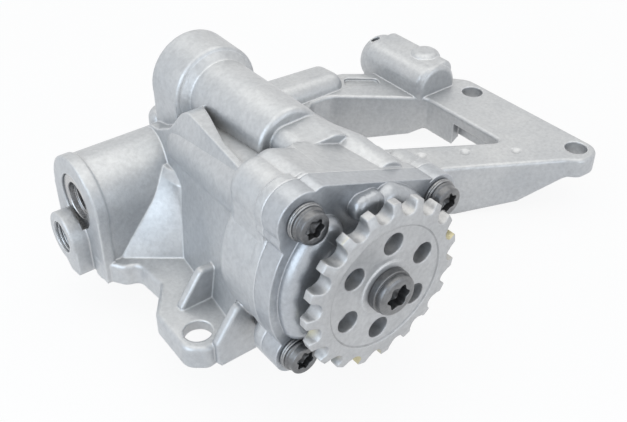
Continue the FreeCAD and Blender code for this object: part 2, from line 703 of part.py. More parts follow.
def valve_block():
    """Relief valve barrel with its tombstone base and end rim."""
    half = VALVE_OUTER_R
    low = VALVE_Y - half
    high = VALVE_Y + half
    barrel = rod_x(half, VALVE_FACE_X, GALLERY_X, VALVE_Y, VALVE_Z)
    base = prism_x([(low, MOUNT_Z), (low, VALVE_Z), (high, VALVE_Z), (high, MOUNT_Z)],
                   VALVE_FACE_X, GALLERY_X)
    rim = spun_x([(0, VALVE_FACE_X), (half + VALVE_RIM, VALVE_FACE_X, 0.5),
                  (half + VALVE_RIM, VALVE_FACE_X + VALVE_RIM_WIDTH - 1),
                  (half, VALVE_FACE_X + VALVE_RIM_WIDTH),
                  (0, VALVE_FACE_X + VALVE_RIM_WIDTH)], VALVE_Y, VALVE_Z)
    rim_base = prism_x([(low - VALVE_RIM, MOUNT_Z), (low - VALVE_RIM, VALVE_Z),
                        (high + VALVE_RIM, VALVE_Z), (high + VALVE_RIM, MOUNT_Z)],
                       VALVE_FACE_X, VALVE_FACE_X + VALVE_RIM_WIDTH - 1)
    side_boss = spun_x([(0, SIDE_PORT_FACE_X), (SIDE_PORT_BOSS_R, SIDE_PORT_FACE_X, 0.6),
                        (SIDE_PORT_BOSS_R, VALVE_FACE_X + 8), (0, VALVE_FACE_X + 8)],
                       SIDE_PORT_Y, SIDE_PORT_Z)
    low_y, low_z = SIDE_PORT_Y - SIDE_PORT_BOSS_R, SIDE_PORT_Z - SIDE_PORT_BOSS_R
    skirt = prism_x([(low_y + 0.1, low_z - 3.0, 1.5), (SIDE_PORT_Y - 1.5, low_z - 4.0, 2.0),
                     (SIDE_PORT_Y + 5.5, low_z + 2.2), (SIDE_PORT_Y, SIDE_PORT_Z),
                     (low_y + 0.1, SIDE_PORT_Z)], SIDE_PORT_FACE_X + 0.7, VALVE_FACE_X + 8)
    return [barrel, base, rim, rim_base, side_boss, skirt]


def corner_gusset():
    """Sloped fill in the corner between the valve block and the left wall, bevelled at its top."""
    front_y = VALVE_Y - VALVE_OUTER_R
    rings = []
    for x, right_y, inside, z, radius in ((-38.0, 66.2, 0.7, DECK_Z - 0.5, 1.5),
                                          (-20.4, 70.4, -1.2, GUSSET_TOP_Z - GUSSET_BEVEL, 3.0),
                                          (-18.4, 73.6, 0.2, GUSSET_TOP_Z, 2.0)):
        left_y = front_y + (x + 38.0) * 0.1 - 0.6
        ring = [(x, left_y), (wall_x(z, right_y) + inside, right_y, radius), (-11.0, right_y + 3),
                (-11.0, 86.0), (x, 86.0)]
        rings.append(outline(ring, lambda u, v: V(u, v, z)))
    return Part.makeLoft(rings, True, True)


def base_flange():
    """Flat base under the valve block and the foot, down to the mounting plane."""
    points = [(-44.4, 88.0, 3.0), (-44.2, 82.0, 4.0), (-39.5, 74.8, 4.0), (-35.4, 73.5, 3.0),
              (-34.6, 61.5, 3.0), (-42.3, 51.0, 4.0), (-42.9, 33.6, 5.0), (-38.0, 29.8, 3.0),
              (-35.2, 30.2), (-34.6, FRONT_WEB_Y), (wall_x(MOUNT_Z, 0) + 1, FRONT_WEB_Y),
              (0.0, FRONT_WEB_Y), (0.0, 90.0)]
    plate = prism_z(points, MOUNT_Z, DECK_Z)
    rim = edges_near(plate, lambda p: p.z > DECK_Z - 0.01 and p.x < -30.0 and p.y > 29.0)
    return plate.makeFillet(EDGE_ROUND, rim)


def foot_web(y):
    """Web from the foot up to the left wall, with a level top beside the wall."""
    tip = FOOT_X + 0.6
    points = [(tip, MOUNT_Z + 1), (tip, DECK_Z + 0.8, 0.6), (WEB_KNEE_X, WEB_KNEE_Z, 2.2),
              (wall_x(WEB_TOP_Z, y) + 6, WEB_TOP_Z), (wall_x(WEB_TOP_Z, y) + 6, MOUNT_Z + 1)]
    web = prism_y(points, y, y + WEB_THICK)
    ridge = edges_near(web, lambda p: abs(p.y - y - WEB_THICK / 2) > 1 and p.z > DECK_Z + 1.2 and p.x < -20)
    return web.makeFillet(0.9, ridge)


def lower_front():
    """Front of the body under the drum, down to the base flange."""
    right = BODY_RIGHT_X - 2.0
    points = [(wall_x(MOUNT_Z, 0), MOUNT_Z), (wall_x(-10.0, 0), -10.0), (right, -10.0), (right, MOUNT_Z)]
    return prism_y(points, FRONT_WEB_Y, DRUM_REAR_Y)


def deck_plan():
    """Plan of the lower body and the frame, from the outlet face round both arms."""
    front = FRONT_HOLE_Y - FRAME_BOSS_R
    return [(-2.0, 44.0, 5.0), (40.0, 46.0, 8.0), (76.3, 53.9, 6.0), (115.9, 30.9, 6.0),
            (FRAME_HOLE_X - 5.0, front + 0.4, 4.0), (FRAME_OUTER_X, front, 6.8),
            (FRAME_OUTER_X, 95.0, 8.0), (BARREL_X + 3, 113.5, 5.0), (93.2, 131.6, 6.0),
            (66.0, 139.0, 10.0), (22.0, 128.0, 10.0), (-2.0, 108.0, 8.0)]


def frame_window():
    """Plan of the window between the two arms."""
    return [(FRAME_INNER_X, 94.3, 3.0), (FRAME_INNER_X, 53.2, 2.0), (66.5, 78.0, 4.0),
            (64.5, 119.6, 5.0), (76.9, 119.2, 6.0)]


def frame_depth_cut():
    """Everything below the sloped lower edge of the frame walls."""
    lower = [(-20, -90), (-20, BELLY_Z), (82.0, BELLY_Z), (102.0, -40.2), (117.0, MOUNT_Z), (200.0, MOUNT_Z),
             (200.0, -90)]
    return prism_y(lower, -20, 200)


def hollow_plan():
    """Plan of the hollow between the outer wall and the wall around the window."""
    outer = outline([(p[0], p[1]) for p in deck_plan()], lambda u, v: V(u, v, 0))
    window = outline([(p[0], p[1]) for p in frame_window()], lambda u, v: V(u, v, 0))
    region = Part.Face(outer.makeOffset2D(-FRAME_WALL, 2))
    return region.cut(Part.Face(window.makeOffset2D(FRAME_WALL, 2)))


def frame_hollow():
    """Hollow under the deck, crossed by two ribs in the lower body."""
    hollow = hollow_plan().Faces[0].extrude(V(0, 0, 60))
    hollow.translate(V(0, 0, DECK_Z - FRAME_PLATE - 60))
    low, x, y = BELLY_Z - 1, BODY_RIGHT_X - RIB_WALL / 2, VALVE_Y - 6.0
    far = ROOT_REAR_Y + 1
    ribs = [prism_z([(x, 0), (x + RIB_WALL, 0), (x + RIB_WALL, far), (x, far)], low, 0),
            prism_z([(-20, y), (66, y), (66, y + RIB_WALL), (-20, y + RIB_WALL)], low, 0),
            rod_z(OUTLET_SEAL_R + FRAME_WALL, low, 0, OUTLET_X, OUTLET_Y)]
    return hollow.cut(ribs)


def frame():
    """Lower body and mounting frame: a deck with walls below it, open underneath."""
    deck = prism_z(deck_plan(), -60, DECK_Z).cut(prism_z(frame_window(), -90, 0))
    deck = deck.makeFillet(EDGE_ROUND, edges_near(deck, lambda p: p.z > DECK_Z - 0.01))
    notch = prism_y([(FRAME_INNER_X - 3, DECK_Z - FRAME_PLATE), (FRAME_INNER_X + 6, DECK_Z - FRAME_PLATE),
                     (FRAME_INNER_X + 6, -60), (FRAME_INNER_X - 3, -60)], 58.5, 78.6)
    cutters = [frame_depth_cut(), frame_hollow(), notch]
    for x, y in ((76.1, 64.6), (90.5, 56.9), (106.0, 46.0)):
        cutters.append(Part.makeSphere(3.4, V(x, y, DECK_Z + 2.7)))
    cutters.append(prism_z([(91.0, 127.5, 2.0), (101.5, 119.0, 2.0), (99.5, 113.5, 2.0), (86.5, 121.5, 2.0)],
                           DECK_Z - 1.2, DECK_Z + 1))
    for cutter in cutters:
        deck = deck.cut(cutter)
    bosses = []
    for y in (FRONT_HOLE_Y, REAR_HOLE_Y):
        bosses.append(rod_z(FRAME_BOSS_R - 0.6, MOUNT_Z, DECK_Z - 1.0, FRAME_HOLE_X, y))
    rib = prism_z([(FRAME_INNER_X + 3.2, 56.0), (FRAME_INNER_X + 5.6, 56.0), (FRAME_INNER_X + 5.6, 84.0),
                   (FRAME_INNER_X + 3.2, 84.0)], -33.4, DECK_Z - 1.0)
    return joined([deck] + bosses + [rib])


def frame_barrel():
    """Closed oil barrel cast onto the frame: a round end, a flat-topped middle and a soft pad."""
    barrel = spun_y([(0, BARREL_FRONT_Y), (BARREL_R, BARREL_FRONT_Y, 2.0), (BARREL_R, BARREL_REAR_Y, 6.5),
                     (0, BARREL_REAR_Y)], BARREL_X, BARREL_Z)
    left, right, top = BARREL_X - BARREL_R - 0.05, BARREL_X + BARREL_R - 0.9, BARREL_Z + BARREL_R + 0.05
    length_y = (BARREL_FRONT_Y + 0.8, BARREL_REAR_Y - 5.5)
    middle = prism_y([(left, -30.0), (left, top - 0.8, 7.0), (right, top + 0.4, 4.5), (right, -30.0)],
                     *length_y)
    ends = edges_near(middle, lambda p: p.z > -29.0 and min(abs(p.y - y) for y in length_y) < 0.1)
    pad_top = BARREL_Z + BARREL_R + PAD_HEIGHT
    pad = spun_z([(0, -30), (7.4, -30), (6.4, pad_top, 3.6), (0, pad_top)], BARREL_X + 3.4, 107.5)
    return [barrel, middle.makeFillet(2.0, ends), pad]


def rear_root():
    """Raised root of the rear arm along the back of the deck, lower at its rounded free end."""
    low = DECK_Z - 2.5
    section = [(ROOT_FRONT_Y, low), (ROOT_FRONT_Y + 1.0, ROOT_TOP_Z, ROOT_ROUND),
               (ROOT_REAR_Y - 1.5, ROOT_TOP_Z - 1.2, ROOT_ROUND), (ROOT_REAR_Y, low)]
    hump = prism_x(section, BODY_RIGHT_X, ROOT_END_X)
    end = edges_near(hump, lambda p: p.x > ROOT_END_X - 0.01 and p.z > low + 1)
    hump = hump.makeFillet(5.0, end)
    hump.rotate(V(BODY_RIGHT_X, 0, ROOT_TOP_Z), V(0, 1, 0), ROOT_DROP)
    return [hump]


def outlet_bores():
    seal_groove = rod_z(OUTLET_SEAL_R + SEAL_WIRE_R, BELLY_Z - 1, BELLY_Z + 1.9, OUTLET_X, OUTLET_Y)
    seal_groove = seal_groove.cut(rod_z(OUTLET_SEAL_R - SEAL_WIRE_R, BELLY_Z - 2, BELLY_Z + 3,
                                        OUTLET_X, OUTLET_Y))
    return [rod_z(OUTLET_R, BELLY_Z - 1, -16.0, OUTLET_X, OUTLET_Y),
            rod_y(OUTLET_R - 0.4, CHAMBER_FLOOR_Y + PORT_DEPTH - 0.2, VALVE_Y, 6.0, -14.0), seal_groove]


def intake_bores():
    """Pipe socket, gallery bore and the passage through the neck to the intake port."""
    groove_y = COLLAR_REAR_Y - SOCKET_DEPTH * 0.55
    groove = ring_y(SOCKET_R + SEAL_WIRE_R, SEAL_WIRE_R + 0.02, groove_y, GALLERY_X, GALLERY_Z)
    socket = rod_y(SOCKET_R, COLLAR_REAR_Y - SOCKET_DEPTH, COLLAR_REAR_Y + 1, GALLERY_X, GALLERY_Z)
    bore = rod_y(INTAKE_R, GALLERY_FRONT_Y + 4, COLLAR_REAR_Y, GALLERY_X, GALLERY_Z)
    start = V(NECK_RIGHT[0] - 2.0, CHAMBER_FLOOR_Y + PORT_DEPTH - 0.4, 13.6)
    end = V(NECK_RIGHT[0] - 3.0, GALLERY_FRONT_Y + 5, GALLERY_Z - 0.5)
    passage = Part.makeCylinder(INTAKE_NECK_R, (end - start).Length, start, end - start)
    return [groove, socket, bore, passage]


def valve_bores():
    """Bores for the sleeve, the piston, the pressure feed, the spill hole and the ring groove."""
    sleeve_end = SLEEVE_FACE_X + SLEEVE_LENGTH
    groove_x = SLEEVE_FACE_X - SNAP_RING_WIRE - 0.05
    groove = rod_x(SLEEVE_BORE_R + 0.8, groove_x, SLEEVE_FACE_X, VALVE_Y, VALVE_Z)
    return [rod_x(SLEEVE_BORE_R, VALVE_FACE_X - 1, sleeve_end, VALVE_Y, VALVE_Z), groove,
            rod_x(PISTON_R + PISTON_FIT, sleeve_end - 1, PISTON_FRONT_X, VALVE_Y, VALVE_Z),
            rod_x(PISTON_R - 2.0, PISTON_FRONT_X - 1, PISTON_FRONT_X + 7, VALVE_Y, VALVE_Z),
            rod_z(3.6, VALVE_Z, GALLERY_Z, -1.0, VALVE_Y),
            rod_x(SIDE_PORT_R, SIDE_PORT_FACE_X - 1, SIDE_PORT_FACE_X + SIDE_PORT_DEPTH,
                  SIDE_PORT_Y, SIDE_PORT_Z),
            rod_x(SIDE_PILOT_R, SIDE_PORT_FACE_X, SIDE_PORT_FACE_X + SIDE_PILOT_DEPTH,
                  SIDE_PORT_Y, SIDE_PORT_Z)]


def foot_cuts():
    """Bolt hole and the hollow under the foot's plate."""
    left = FOOT_X - FOOT_HOLE_R - 2.5 + FOOT_SKIRT
    hollow = [(left, 49.0, 2.0), (left, 34.0, 3.0), (-38.8, 31.7, 2.0), (-27.0, 31.7, 2.0),
              (-27.0, 49.0, 2.0)]
    return [rod_z(FOOT_HOLE_R, -80, 0, FOOT_X, FOOT_Y),
            prism_z(hollow, MOUNT_Z - 1, DECK_Z - FOOT_PLATE)]


def pump_housing():
    pieces = drum()
    pieces += [rear_body(), lower_front(), corner_gusset(), base_flange()]
    pieces += gallery() + valve_block() + frame_barrel() + rear_root()
    pieces += [foot_web(FRONT_WEB_Y), foot_web(REAR_WEB_Y), frame()]
    body = joined(pieces)
    cutters = [rod_y(OUTER_ROTOR_R + CHAMBER_CLEARANCE, JOINT_Y - 1, CHAMBER_FLOOR_Y, ECC_X, ECC_Z),
               rod_y(SHAFT_R + BUSH_CLEARANCE + BUSH_WALL, JOINT_Y, SHAFT_REAR_Y + 2)]
    for side in (1, -1):
        cutters.append(port(side, CHAMBER_FLOOR_Y - 1, CHAMBER_FLOOR_Y + PORT_DEPTH))
    for x, z in SCREW_PLACES:
        cutters.append(rod_y(COVER_SCREW_R + 0.02, JOINT_Y - 1, JOINT_Y + COVER_SCREW_GRIP + 0.5, x, z))
    for x, z in DOWEL_PLACES:
        cutters.append(rod_y(DOWEL_R + DOWEL_FIT, JOINT_Y - 1, JOINT_Y + DOWEL_LENGTH / 2, x, z))
    for y in (FRONT_HOLE_Y, REAR_HOLE_Y):
        cutters.append(rod_z(FOOT_HOLE_R, -80, 0, FRAME_HOLE_X, y))
    cutters += intake_bores() + valve_bores() + outlet_bores() + foot_cuts()
    cutters.append(rod_z(1.8, BARREL_Z + 2.0, 0, BARREL_X - 3.0, BARREL_REAR_Y - 5.2))
    for cutter in cutters:
        body = body.cut(cutter)
    return body.removeSplitter()


def relief_sleeve():
    """Spring guide closed by an end wall with a hole, and grooved for its seal."""
    end = SLEEVE_FACE_X + SLEEVE_LENGTH
    outer = SLEEVE_BORE_R - SLEEVE_FIT
    spring_r = PISTON_R - PISTON_WALL
    seal_x = SLEEVE_FACE_X + SLEEVE_LENGTH * 0.45
    body = spun_x([(SLEEVE_HOLE_R, SLEEVE_FACE_X), (outer, SLEEVE_FACE_X, 0.5), (outer, end, 0.4),
                   (spring_r, end), (spring_r, SLEEVE_FACE_X + SLEEVE_END_WALL),
                   (SLEEVE_HOLE_R, SLEEVE_FACE_X + SLEEVE_END_WALL)], VALVE_Y, VALVE_Z)
    groove = Part.makeTorus(outer - SEAL_WIRE_R, SEAL_WIRE_R + 0.02, V(seal_x, VALVE_Y, VALVE_Z), V(1, 0, 0))
    return body.cut(groove)


def relief_sleeve_seal():
    seal_x = SLEEVE_FACE_X + SLEEVE_LENGTH * 0.45
    major = SLEEVE_BORE_R - SLEEVE_FIT - SEAL_WIRE_R
    return Part.makeTorus(major, SEAL_WIRE_R, V(seal_x, VALVE_Y, VALVE_Z), V(1, 0, 0))


def relief_snap_ring():
    """Open retaining ring that sits in the groove in front of the sleeve."""
    x0 = SLEEVE_FACE_X - SNAP_RING_WIRE
    ring = rod_x(SLEEVE_BORE_R + 0.7, x0, SLEEVE_FACE_X - 0.02, VALVE_Y, VALVE_Z)
    ring = ring.cut(rod_x(SLEEVE_BORE_R - 1.3, x0 - 1, SLEEVE_FACE_X + 1, VALVE_Y, VALVE_Z))
    gap = prism_x([(VALVE_Y - 2.2, VALVE_Z - 14), (VALVE_Y + 2.2, VALVE_Z - 14),
                   (VALVE_Y + 1.2, VALVE_Z), (VALVE_Y - 1.2, VALVE_Z)], x0 - 1, SLEEVE_FACE_X + 1)
    return ring.cut(gap)


def relief_piston():
    rear = PISTON_FRONT_X - PISTON_LENGTH
    cup = rod_x(PISTON_R - PISTON_WALL, rear - 1, PISTON_FRONT_X - PISTON_CROWN, VALVE_Y, VALVE_Z)
    body = spun_x([(0, rear), (PISTON_R, rear, 0.4), (PISTON_R, PISTON_FRONT_X - 0.05, 0.8),
                   (0, PISTON_FRONT_X - 0.05)], VALVE_Y, VALVE_Z)
    groove = rod_x(PISTON_R + 1, PISTON_FRONT_X - 3.4, PISTON_FRONT_X - 2.4, VALVE_Y, VALVE_Z)
    groove = groove.cut(rod_x(PISTON_R - 0.5, rear, PISTON_FRONT_X, VALVE_Y, VALVE_Z))
    return body.cut([cup, groove])


def relief_spring():
    start = SLEEVE_FACE_X + SLEEVE_END_WALL + SPRING_WIRE_R + 0.05
    end = PISTON_FRONT_X - PISTON_CROWN - SPRING_WIRE_R - 0.05
    radius = PISTON_R - PISTON_WALL - SPRING_SIDE_GAP - SPRING_WIRE_R
    length = end - start
    climb = math.atan(length / SPRING_COILS / (2 * math.pi * radius))
    helix = Part.makeHelix(length / SPRING_COILS, length, radius)
    section = Part.makeCircle(SPRING_WIRE_R, V(radius, 0, 0), V(0, math.cos(climb), math.sin(climb)))
    coil = Part.Wire(helix).makePipeShell([Part.Wire(section)], True, True)
    coil.rotate(V(0, 0, 0), V(0, 1, 0), 90)
    coil.translate(V(start, VALVE_Y, VALVE_Z))
    return Part.Solid(coil) if not coil.Solids else coil


def intake_seal():
    groove_y = COLLAR_REAR_Y - SOCKET_DEPTH * 0.55
    return ring_y(SOCKET_R + SEAL_WIRE_R, SEAL_WIRE_R, groove_y, GALLERY_X, GALLERY_Z)


def outlet_seal():
    middle = V(OUTLET_X, OUTLET_Y, BELLY_Z + SEAL_WIRE_R - 0.1)
    return Part.makeTorus(OUTLET_SEAL_R, SEAL_WIRE_R - 0.02, middle, V(0, 0, 1))


def main():
    save("pump_housing", pump_housing())
    save("front_cover", front_cover())
    save("cover_screws", cover_screws())
    save("cover_screw_washers", cover_washers())
    save("cover_dowels", cover_dowels())
    save("drive_sprocket", drive_sprocket())
    save("sprocket_screw", sprocket_screw())
    save("drive_shaft", drive_shaft())
    save("inner_rotor", inner_rotor())
    save("outer_rotor", outer_rotor())
    hub_top = SPROCKET_THICK + COVER_HUB_GAP
    save("front_shaft_bush", bush(hub_top, JOINT_Y - 0.2))
    save("rear_shaft_bush", bush(CHAMBER_FLOOR_Y + 0.2, CHAMBER_FLOOR_Y + 0.2 + REAR_BUSH_LENGTH))
    save("relief_piston", relief_piston())
    save("relief_spring", relief_spring())
    save("relief_sleeve", relief_sleeve())
    save("relief_sleeve_seal", relief_sleeve_seal())
    save("relief_snap_ring", relief_snap_ring())
    save("intake_seal", intake_seal())
    save("outlet_seal", outlet_seal())


if __name__ == "__main__":
    main()
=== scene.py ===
# %% [markdown]
# # An engine oil pump, dressed for the studio
# The pump is a die-cast aluminium body with a chain sprocket in front, a bolted cover, a
# relief valve lying across its back and a windowed frame that bolts it under an engine.
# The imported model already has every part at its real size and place. This file gives the
# parts their finishes, adds the small things a casting and its screws carry, and sets up
# the floor, the light and the camera.

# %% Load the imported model
import math

import bmesh
import bpy
from mathutils import Matrix, Vector


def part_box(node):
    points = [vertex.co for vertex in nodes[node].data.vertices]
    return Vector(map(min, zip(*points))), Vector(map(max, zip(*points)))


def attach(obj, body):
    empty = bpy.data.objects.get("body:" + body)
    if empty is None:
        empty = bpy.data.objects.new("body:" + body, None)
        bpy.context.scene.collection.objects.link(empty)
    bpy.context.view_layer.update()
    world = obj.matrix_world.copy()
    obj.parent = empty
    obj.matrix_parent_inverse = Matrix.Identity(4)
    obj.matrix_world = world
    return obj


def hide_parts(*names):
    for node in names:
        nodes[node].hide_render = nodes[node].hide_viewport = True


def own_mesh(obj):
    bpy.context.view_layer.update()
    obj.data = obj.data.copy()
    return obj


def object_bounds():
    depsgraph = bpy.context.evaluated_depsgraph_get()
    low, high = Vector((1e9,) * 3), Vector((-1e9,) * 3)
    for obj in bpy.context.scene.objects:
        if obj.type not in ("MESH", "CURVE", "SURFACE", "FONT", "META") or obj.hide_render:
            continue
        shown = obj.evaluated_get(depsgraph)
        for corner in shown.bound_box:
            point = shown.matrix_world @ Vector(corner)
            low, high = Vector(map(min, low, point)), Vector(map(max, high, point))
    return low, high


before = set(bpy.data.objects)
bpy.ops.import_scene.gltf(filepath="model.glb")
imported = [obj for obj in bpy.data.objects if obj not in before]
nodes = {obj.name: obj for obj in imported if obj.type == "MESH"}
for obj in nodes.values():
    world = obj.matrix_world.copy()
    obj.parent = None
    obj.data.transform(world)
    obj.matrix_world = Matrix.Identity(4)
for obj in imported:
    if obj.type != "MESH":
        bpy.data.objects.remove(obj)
cad_low, cad_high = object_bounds()
MM = 0.001

# %% [markdown]
# ## Reading the view
# The camera stands left of and above the sprocket. Its place and turn came from matching
# known circles, the sprocket's pitch circle and the bolt holes, to where they appear. A
# camera looks along its own minus Z, so the matrix holds its right, up and back axes.

# %% The camera
back = Vector((-0.4923, -0.6292, 0.6015)).normalized()
right = Vector((0.7899, -0.6132, 0.0051))
right = (right - back * right.dot(back)).normalized()
up = back.cross(right)
turn = Matrix((right, up, back)).transposed().to_4x4()
bpy.ops.object.camera_add()
camera = bpy.context.object
camera.name = "studio_camera"
camera.matrix_world = Matrix.Translation(Vector((-120.8, -123.2, 154.0)) * MM) @ turn
camera.data.sensor_width = 36.0
camera.data.lens = 50.69
camera.data.clip_start = 0.01
bpy.context.scene.camera = camera
print("lens", camera.data.lens, "mm, distance", round(camera.location.length, 3), "m")

# %% [markdown]
# ## Floor
# A product photo on white has a floor that is nearly as bright as the background and only
# a faint shadow. The floor here is a pale sheet. What the camera and the metal's mirror
# rays see of it is mostly its own glow, so its shadow is soft while the lamps stay at a
# plain level. Scattered light meets only the matt sheet, so the glow isn't another lamp.

# %% The floor
FLOOR_SIZE = 40.0
FLOOR_Z = cad_low[2] - 0.0006
FLOOR_GLOW = 0.91
bpy.ops.object.select_all(action="DESELECT")
bpy.ops.mesh.primitive_plane_add(size=FLOOR_SIZE, location=(0.0, 0.0, FLOOR_Z))
floor = bpy.context.object
floor.name = "studio_floor"
bpy.ops.object.transform_apply(location=True)


def new_material(name):
    """Empty node material with an output, and its node tree."""
    material = bpy.data.materials.new(name)
    material.use_nodes = True
    tree = material.node_tree
    tree.nodes.clear()
    output = tree.nodes.new("ShaderNodeOutputMaterial")
    return material, tree, output


def feed(tree, value, socket):
    """Link an output to a socket, or give the socket a number or a colour."""
    if isinstance(value, bpy.types.NodeSocket):
        tree.links.new(value, socket)
    elif isinstance(value, tuple):
        socket.default_value = (*value, 1)
    else:
        socket.default_value = value


def calculate(tree, operation, *values):
    """Result of a Math node on sockets or numbers."""
    node = tree.nodes.new("ShaderNodeMath")
    node.operation = operation
    for value, socket in zip(values, node.inputs):
        feed(tree, value, socket)
    return node.outputs[0]


def seen_directly(tree):
    """One for rays from the camera, a mirror or a glass, and nought for scattered light."""
    path = tree.nodes.new("ShaderNodeLightPath")
    total = path.outputs["Is Camera Ray"]
    for ray in ("Is Glossy Ray", "Is Transmission Ray"):
        total = calculate(tree, "MAXIMUM", total, path.outputs[ray])
    return total


paper, tree, output = new_material("studio_paper")
matt = tree.nodes.new("ShaderNodeBsdfDiffuse")
matt.inputs["Color"].default_value = (0.80, 0.81, 0.83, 1)
glow = tree.nodes.new("ShaderNodeEmission")
glow.inputs["Color"].default_value = (1, 1, 1, 1)
glow.inputs["Strength"].default_value = 1.0
blend = tree.nodes.new("ShaderNodeMixShader")
share = calculate(tree, "MULTIPLY", seen_directly(tree), FLOOR_GLOW)
for source, socket in zip((share, matt.outputs[0], glow.outputs[0]), blend.inputs):
    tree.links.new(source, socket)
tree.links.new(blend.outputs[0], output.inputs[0])
floor.data.materials.append(paper)
print("floor at", round(FLOOR_Z, 4))

# %% [markdown]
# ## Surroundings
# The background is plain white wherever the camera or a mirror ray meets it, so the metal
# reflects a bright studio. What scatters softly onto the pump is a separate light, cool and
# dim from the sides and below and warmer from above. A ramp over the height makes that,
# because a room's ceiling is lit more than its walls.

# %% The surroundings
ROOM_LIGHT = 0.62
ROOM_COLOURS = ((0.30, (0.34, 0.43, 0.58)), (0.55, (0.44, 0.55, 0.74)), (0.92, (1.0, 0.99, 0.95)))
world = bpy.data.worlds.new("studio_world")
bpy.context.scene.world = world
world.use_nodes = True
tree = world.node_tree
tree.nodes.clear()
output = tree.nodes.new("ShaderNodeOutputWorld")
seen = tree.nodes.new("ShaderNodeBackground")
seen.inputs["Color"].default_value = (1, 1, 1, 1)
seen.inputs["Strength"].default_value = 1.0
room = tree.nodes.new("ShaderNodeBackground")
room.inputs["Strength"].default_value = ROOM_LIGHT
place = tree.nodes.new("ShaderNodeTexCoord")
split = tree.nodes.new("ShaderNodeSeparateXYZ")
lift = tree.nodes.new("ShaderNodeMapRange")
lift.inputs["From Min"].default_value = -1.0
lift.inputs["From Max"].default_value = 1.0
ramp = tree.nodes.new("ShaderNodeValToRGB")
stops = ramp.color_ramp.elements
stops.new(0.5)
for stop, (height, colour) in zip(stops, ROOM_COLOURS):
    stop.position = height
    stop.color = (*colour, 1)
choose = tree.nodes.new("ShaderNodeMixShader")
tree.links.new(place.outputs["Generated"], split.inputs[0])
tree.links.new(split.outputs["Z"], lift.inputs["Value"])
tree.links.new(lift.outputs[0], ramp.inputs[0])
tree.links.new(ramp.outputs[0], room.inputs["Color"])
for source, socket in zip((seen_directly(tree), room.outputs[0], seen.outputs[0]), choose.inputs):
    tree.links.new(source, socket)
tree.links.new(choose.outputs[0], output.inputs[0])
bpy.context.scene.view_settings.view_transform = "Standard"
print("room light by height:",
      [[round(stop.position, 2), round(stop.color[2], 2)] for stop in stops])

# %% [markdown]
# ## Lamps
# Three large square lamps stand in for the soft boxes of a studio: a warm one overhead and
# two cool ones, to the left and in front. Large lamps give soft edges to every shadow, and
# their powers are low enough that no pale face turns to plain white.


# %% The lamps
def soft_lamp(name, place, aim, size, watts, colour):
    """Square area lamp at place, turned to face aim."""
    bpy.ops.object.light_add(type="AREA", location=place)
    lamp = bpy.context.object
    lamp.name = name
    lamp.data.size = size
    lamp.data.energy = watts
    lamp.data.color = colour
    facing = Vector(aim) - Vector(place)
    lamp.rotation_euler = facing.to_track_quat("-Z", "Y").to_euler()


soft_lamp("top_lamp", (0.10, 0.15, 0.75), (0.03, 0.05, 0.0), 1.1, 3.4, (1.0, 0.985, 0.93))
soft_lamp("left_lamp", (-0.72, -0.02, 0.34), (0.0, 0.05, 0.0), 0.70, 3.2, (0.70, 0.85, 1.0))
soft_lamp("front_lamp", (0.15, -0.80, 0.18), (0.0, 0.0, 0.0), 0.70, 1.9, (0.78, 0.89, 1.0))

# %% [markdown]
# ## Finishes
# Each finish is a few nodes: a base colour that drifts a little over the surface, a fine
# bump at the real grain's size, and painted shade, a darker base colour where the surface is
# shut in. A Bevel node rounds the shading at edges, as the radii of a casting do, and a
# painted highlight with some rubbed wear lightens the colour along them. All patterns read
# Object coordinates in metres, so a noise scale of 1000 gives grains of about a millimetre.


# %% Helpers for finishes
def add(tree, kind, **values):
    """New node of one kind with its sockets set by name."""
    node = tree.nodes.new(kind)
    for socket, value in values.items():
        node.inputs[socket.replace("_", " ")].default_value = value
    return node


def noise(tree, coords, scale, detail=3.0):
    """Soft noise with a number of grains to the metre."""
    node = add(tree, "ShaderNodeTexNoise", Scale=scale, Detail=detail, Roughness=0.55)
    tree.links.new(coords, node.inputs["Vector"])
    return node.outputs["Fac"]


def ramp_between(tree, factor, low, high, start=0.3, stop=0.7):
    """Colour ramp from low to high over part of the factor's range."""
    node = tree.nodes.new("ShaderNodeValToRGB")
    for mark, position, colour in zip(node.color_ramp.elements, (start, stop), (low, high)):
        mark.position = position
        mark.color = (*colour, 1)
    tree.links.new(factor, node.inputs[0])
    return node.outputs[0]


def mix_colour(tree, factor, first, second, kind="MIX"):
    """Two colours, plain or from sockets, mixed by a factor."""
    node = tree.nodes.new("ShaderNodeMix")
    node.data_type = "RGBA"
    node.blend_type = kind
    feed(tree, factor, node.inputs[0])
    feed(tree, first, node.inputs[6])
    feed(tree, second, node.inputs[7])
    return node.outputs[2]


def shut_in(tree, distance):
    """How open the surface is within a distance: 1 in the open, less in corners and bores."""
    node = add(tree, "ShaderNodeAmbientOcclusion", Distance=distance)
    node.samples = 8
    return node.outputs["AO"]


def highlight_and_wear_edges(tree, rounded, start=0.985, stop=0.90):
    """One along edges, where the rounded normal leaves the flat one, and nought elsewhere."""
    flat = tree.nodes.new("ShaderNodeNewGeometry").outputs["Normal"]
    agree = tree.nodes.new("ShaderNodeVectorMath")
    agree.operation = "DOT_PRODUCT"
    tree.links.new(rounded, agree.inputs[0])
    tree.links.new(flat, agree.inputs[1])
    edge = add(tree, "ShaderNodeMapRange", From_Min=start, From_Max=stop)
    tree.links.new(agree.outputs["Value"], edge.inputs["Value"])
    return edge.outputs[0]


def grey(value):
    """Colour with the same value in all three channels."""
    return (value, value, value)
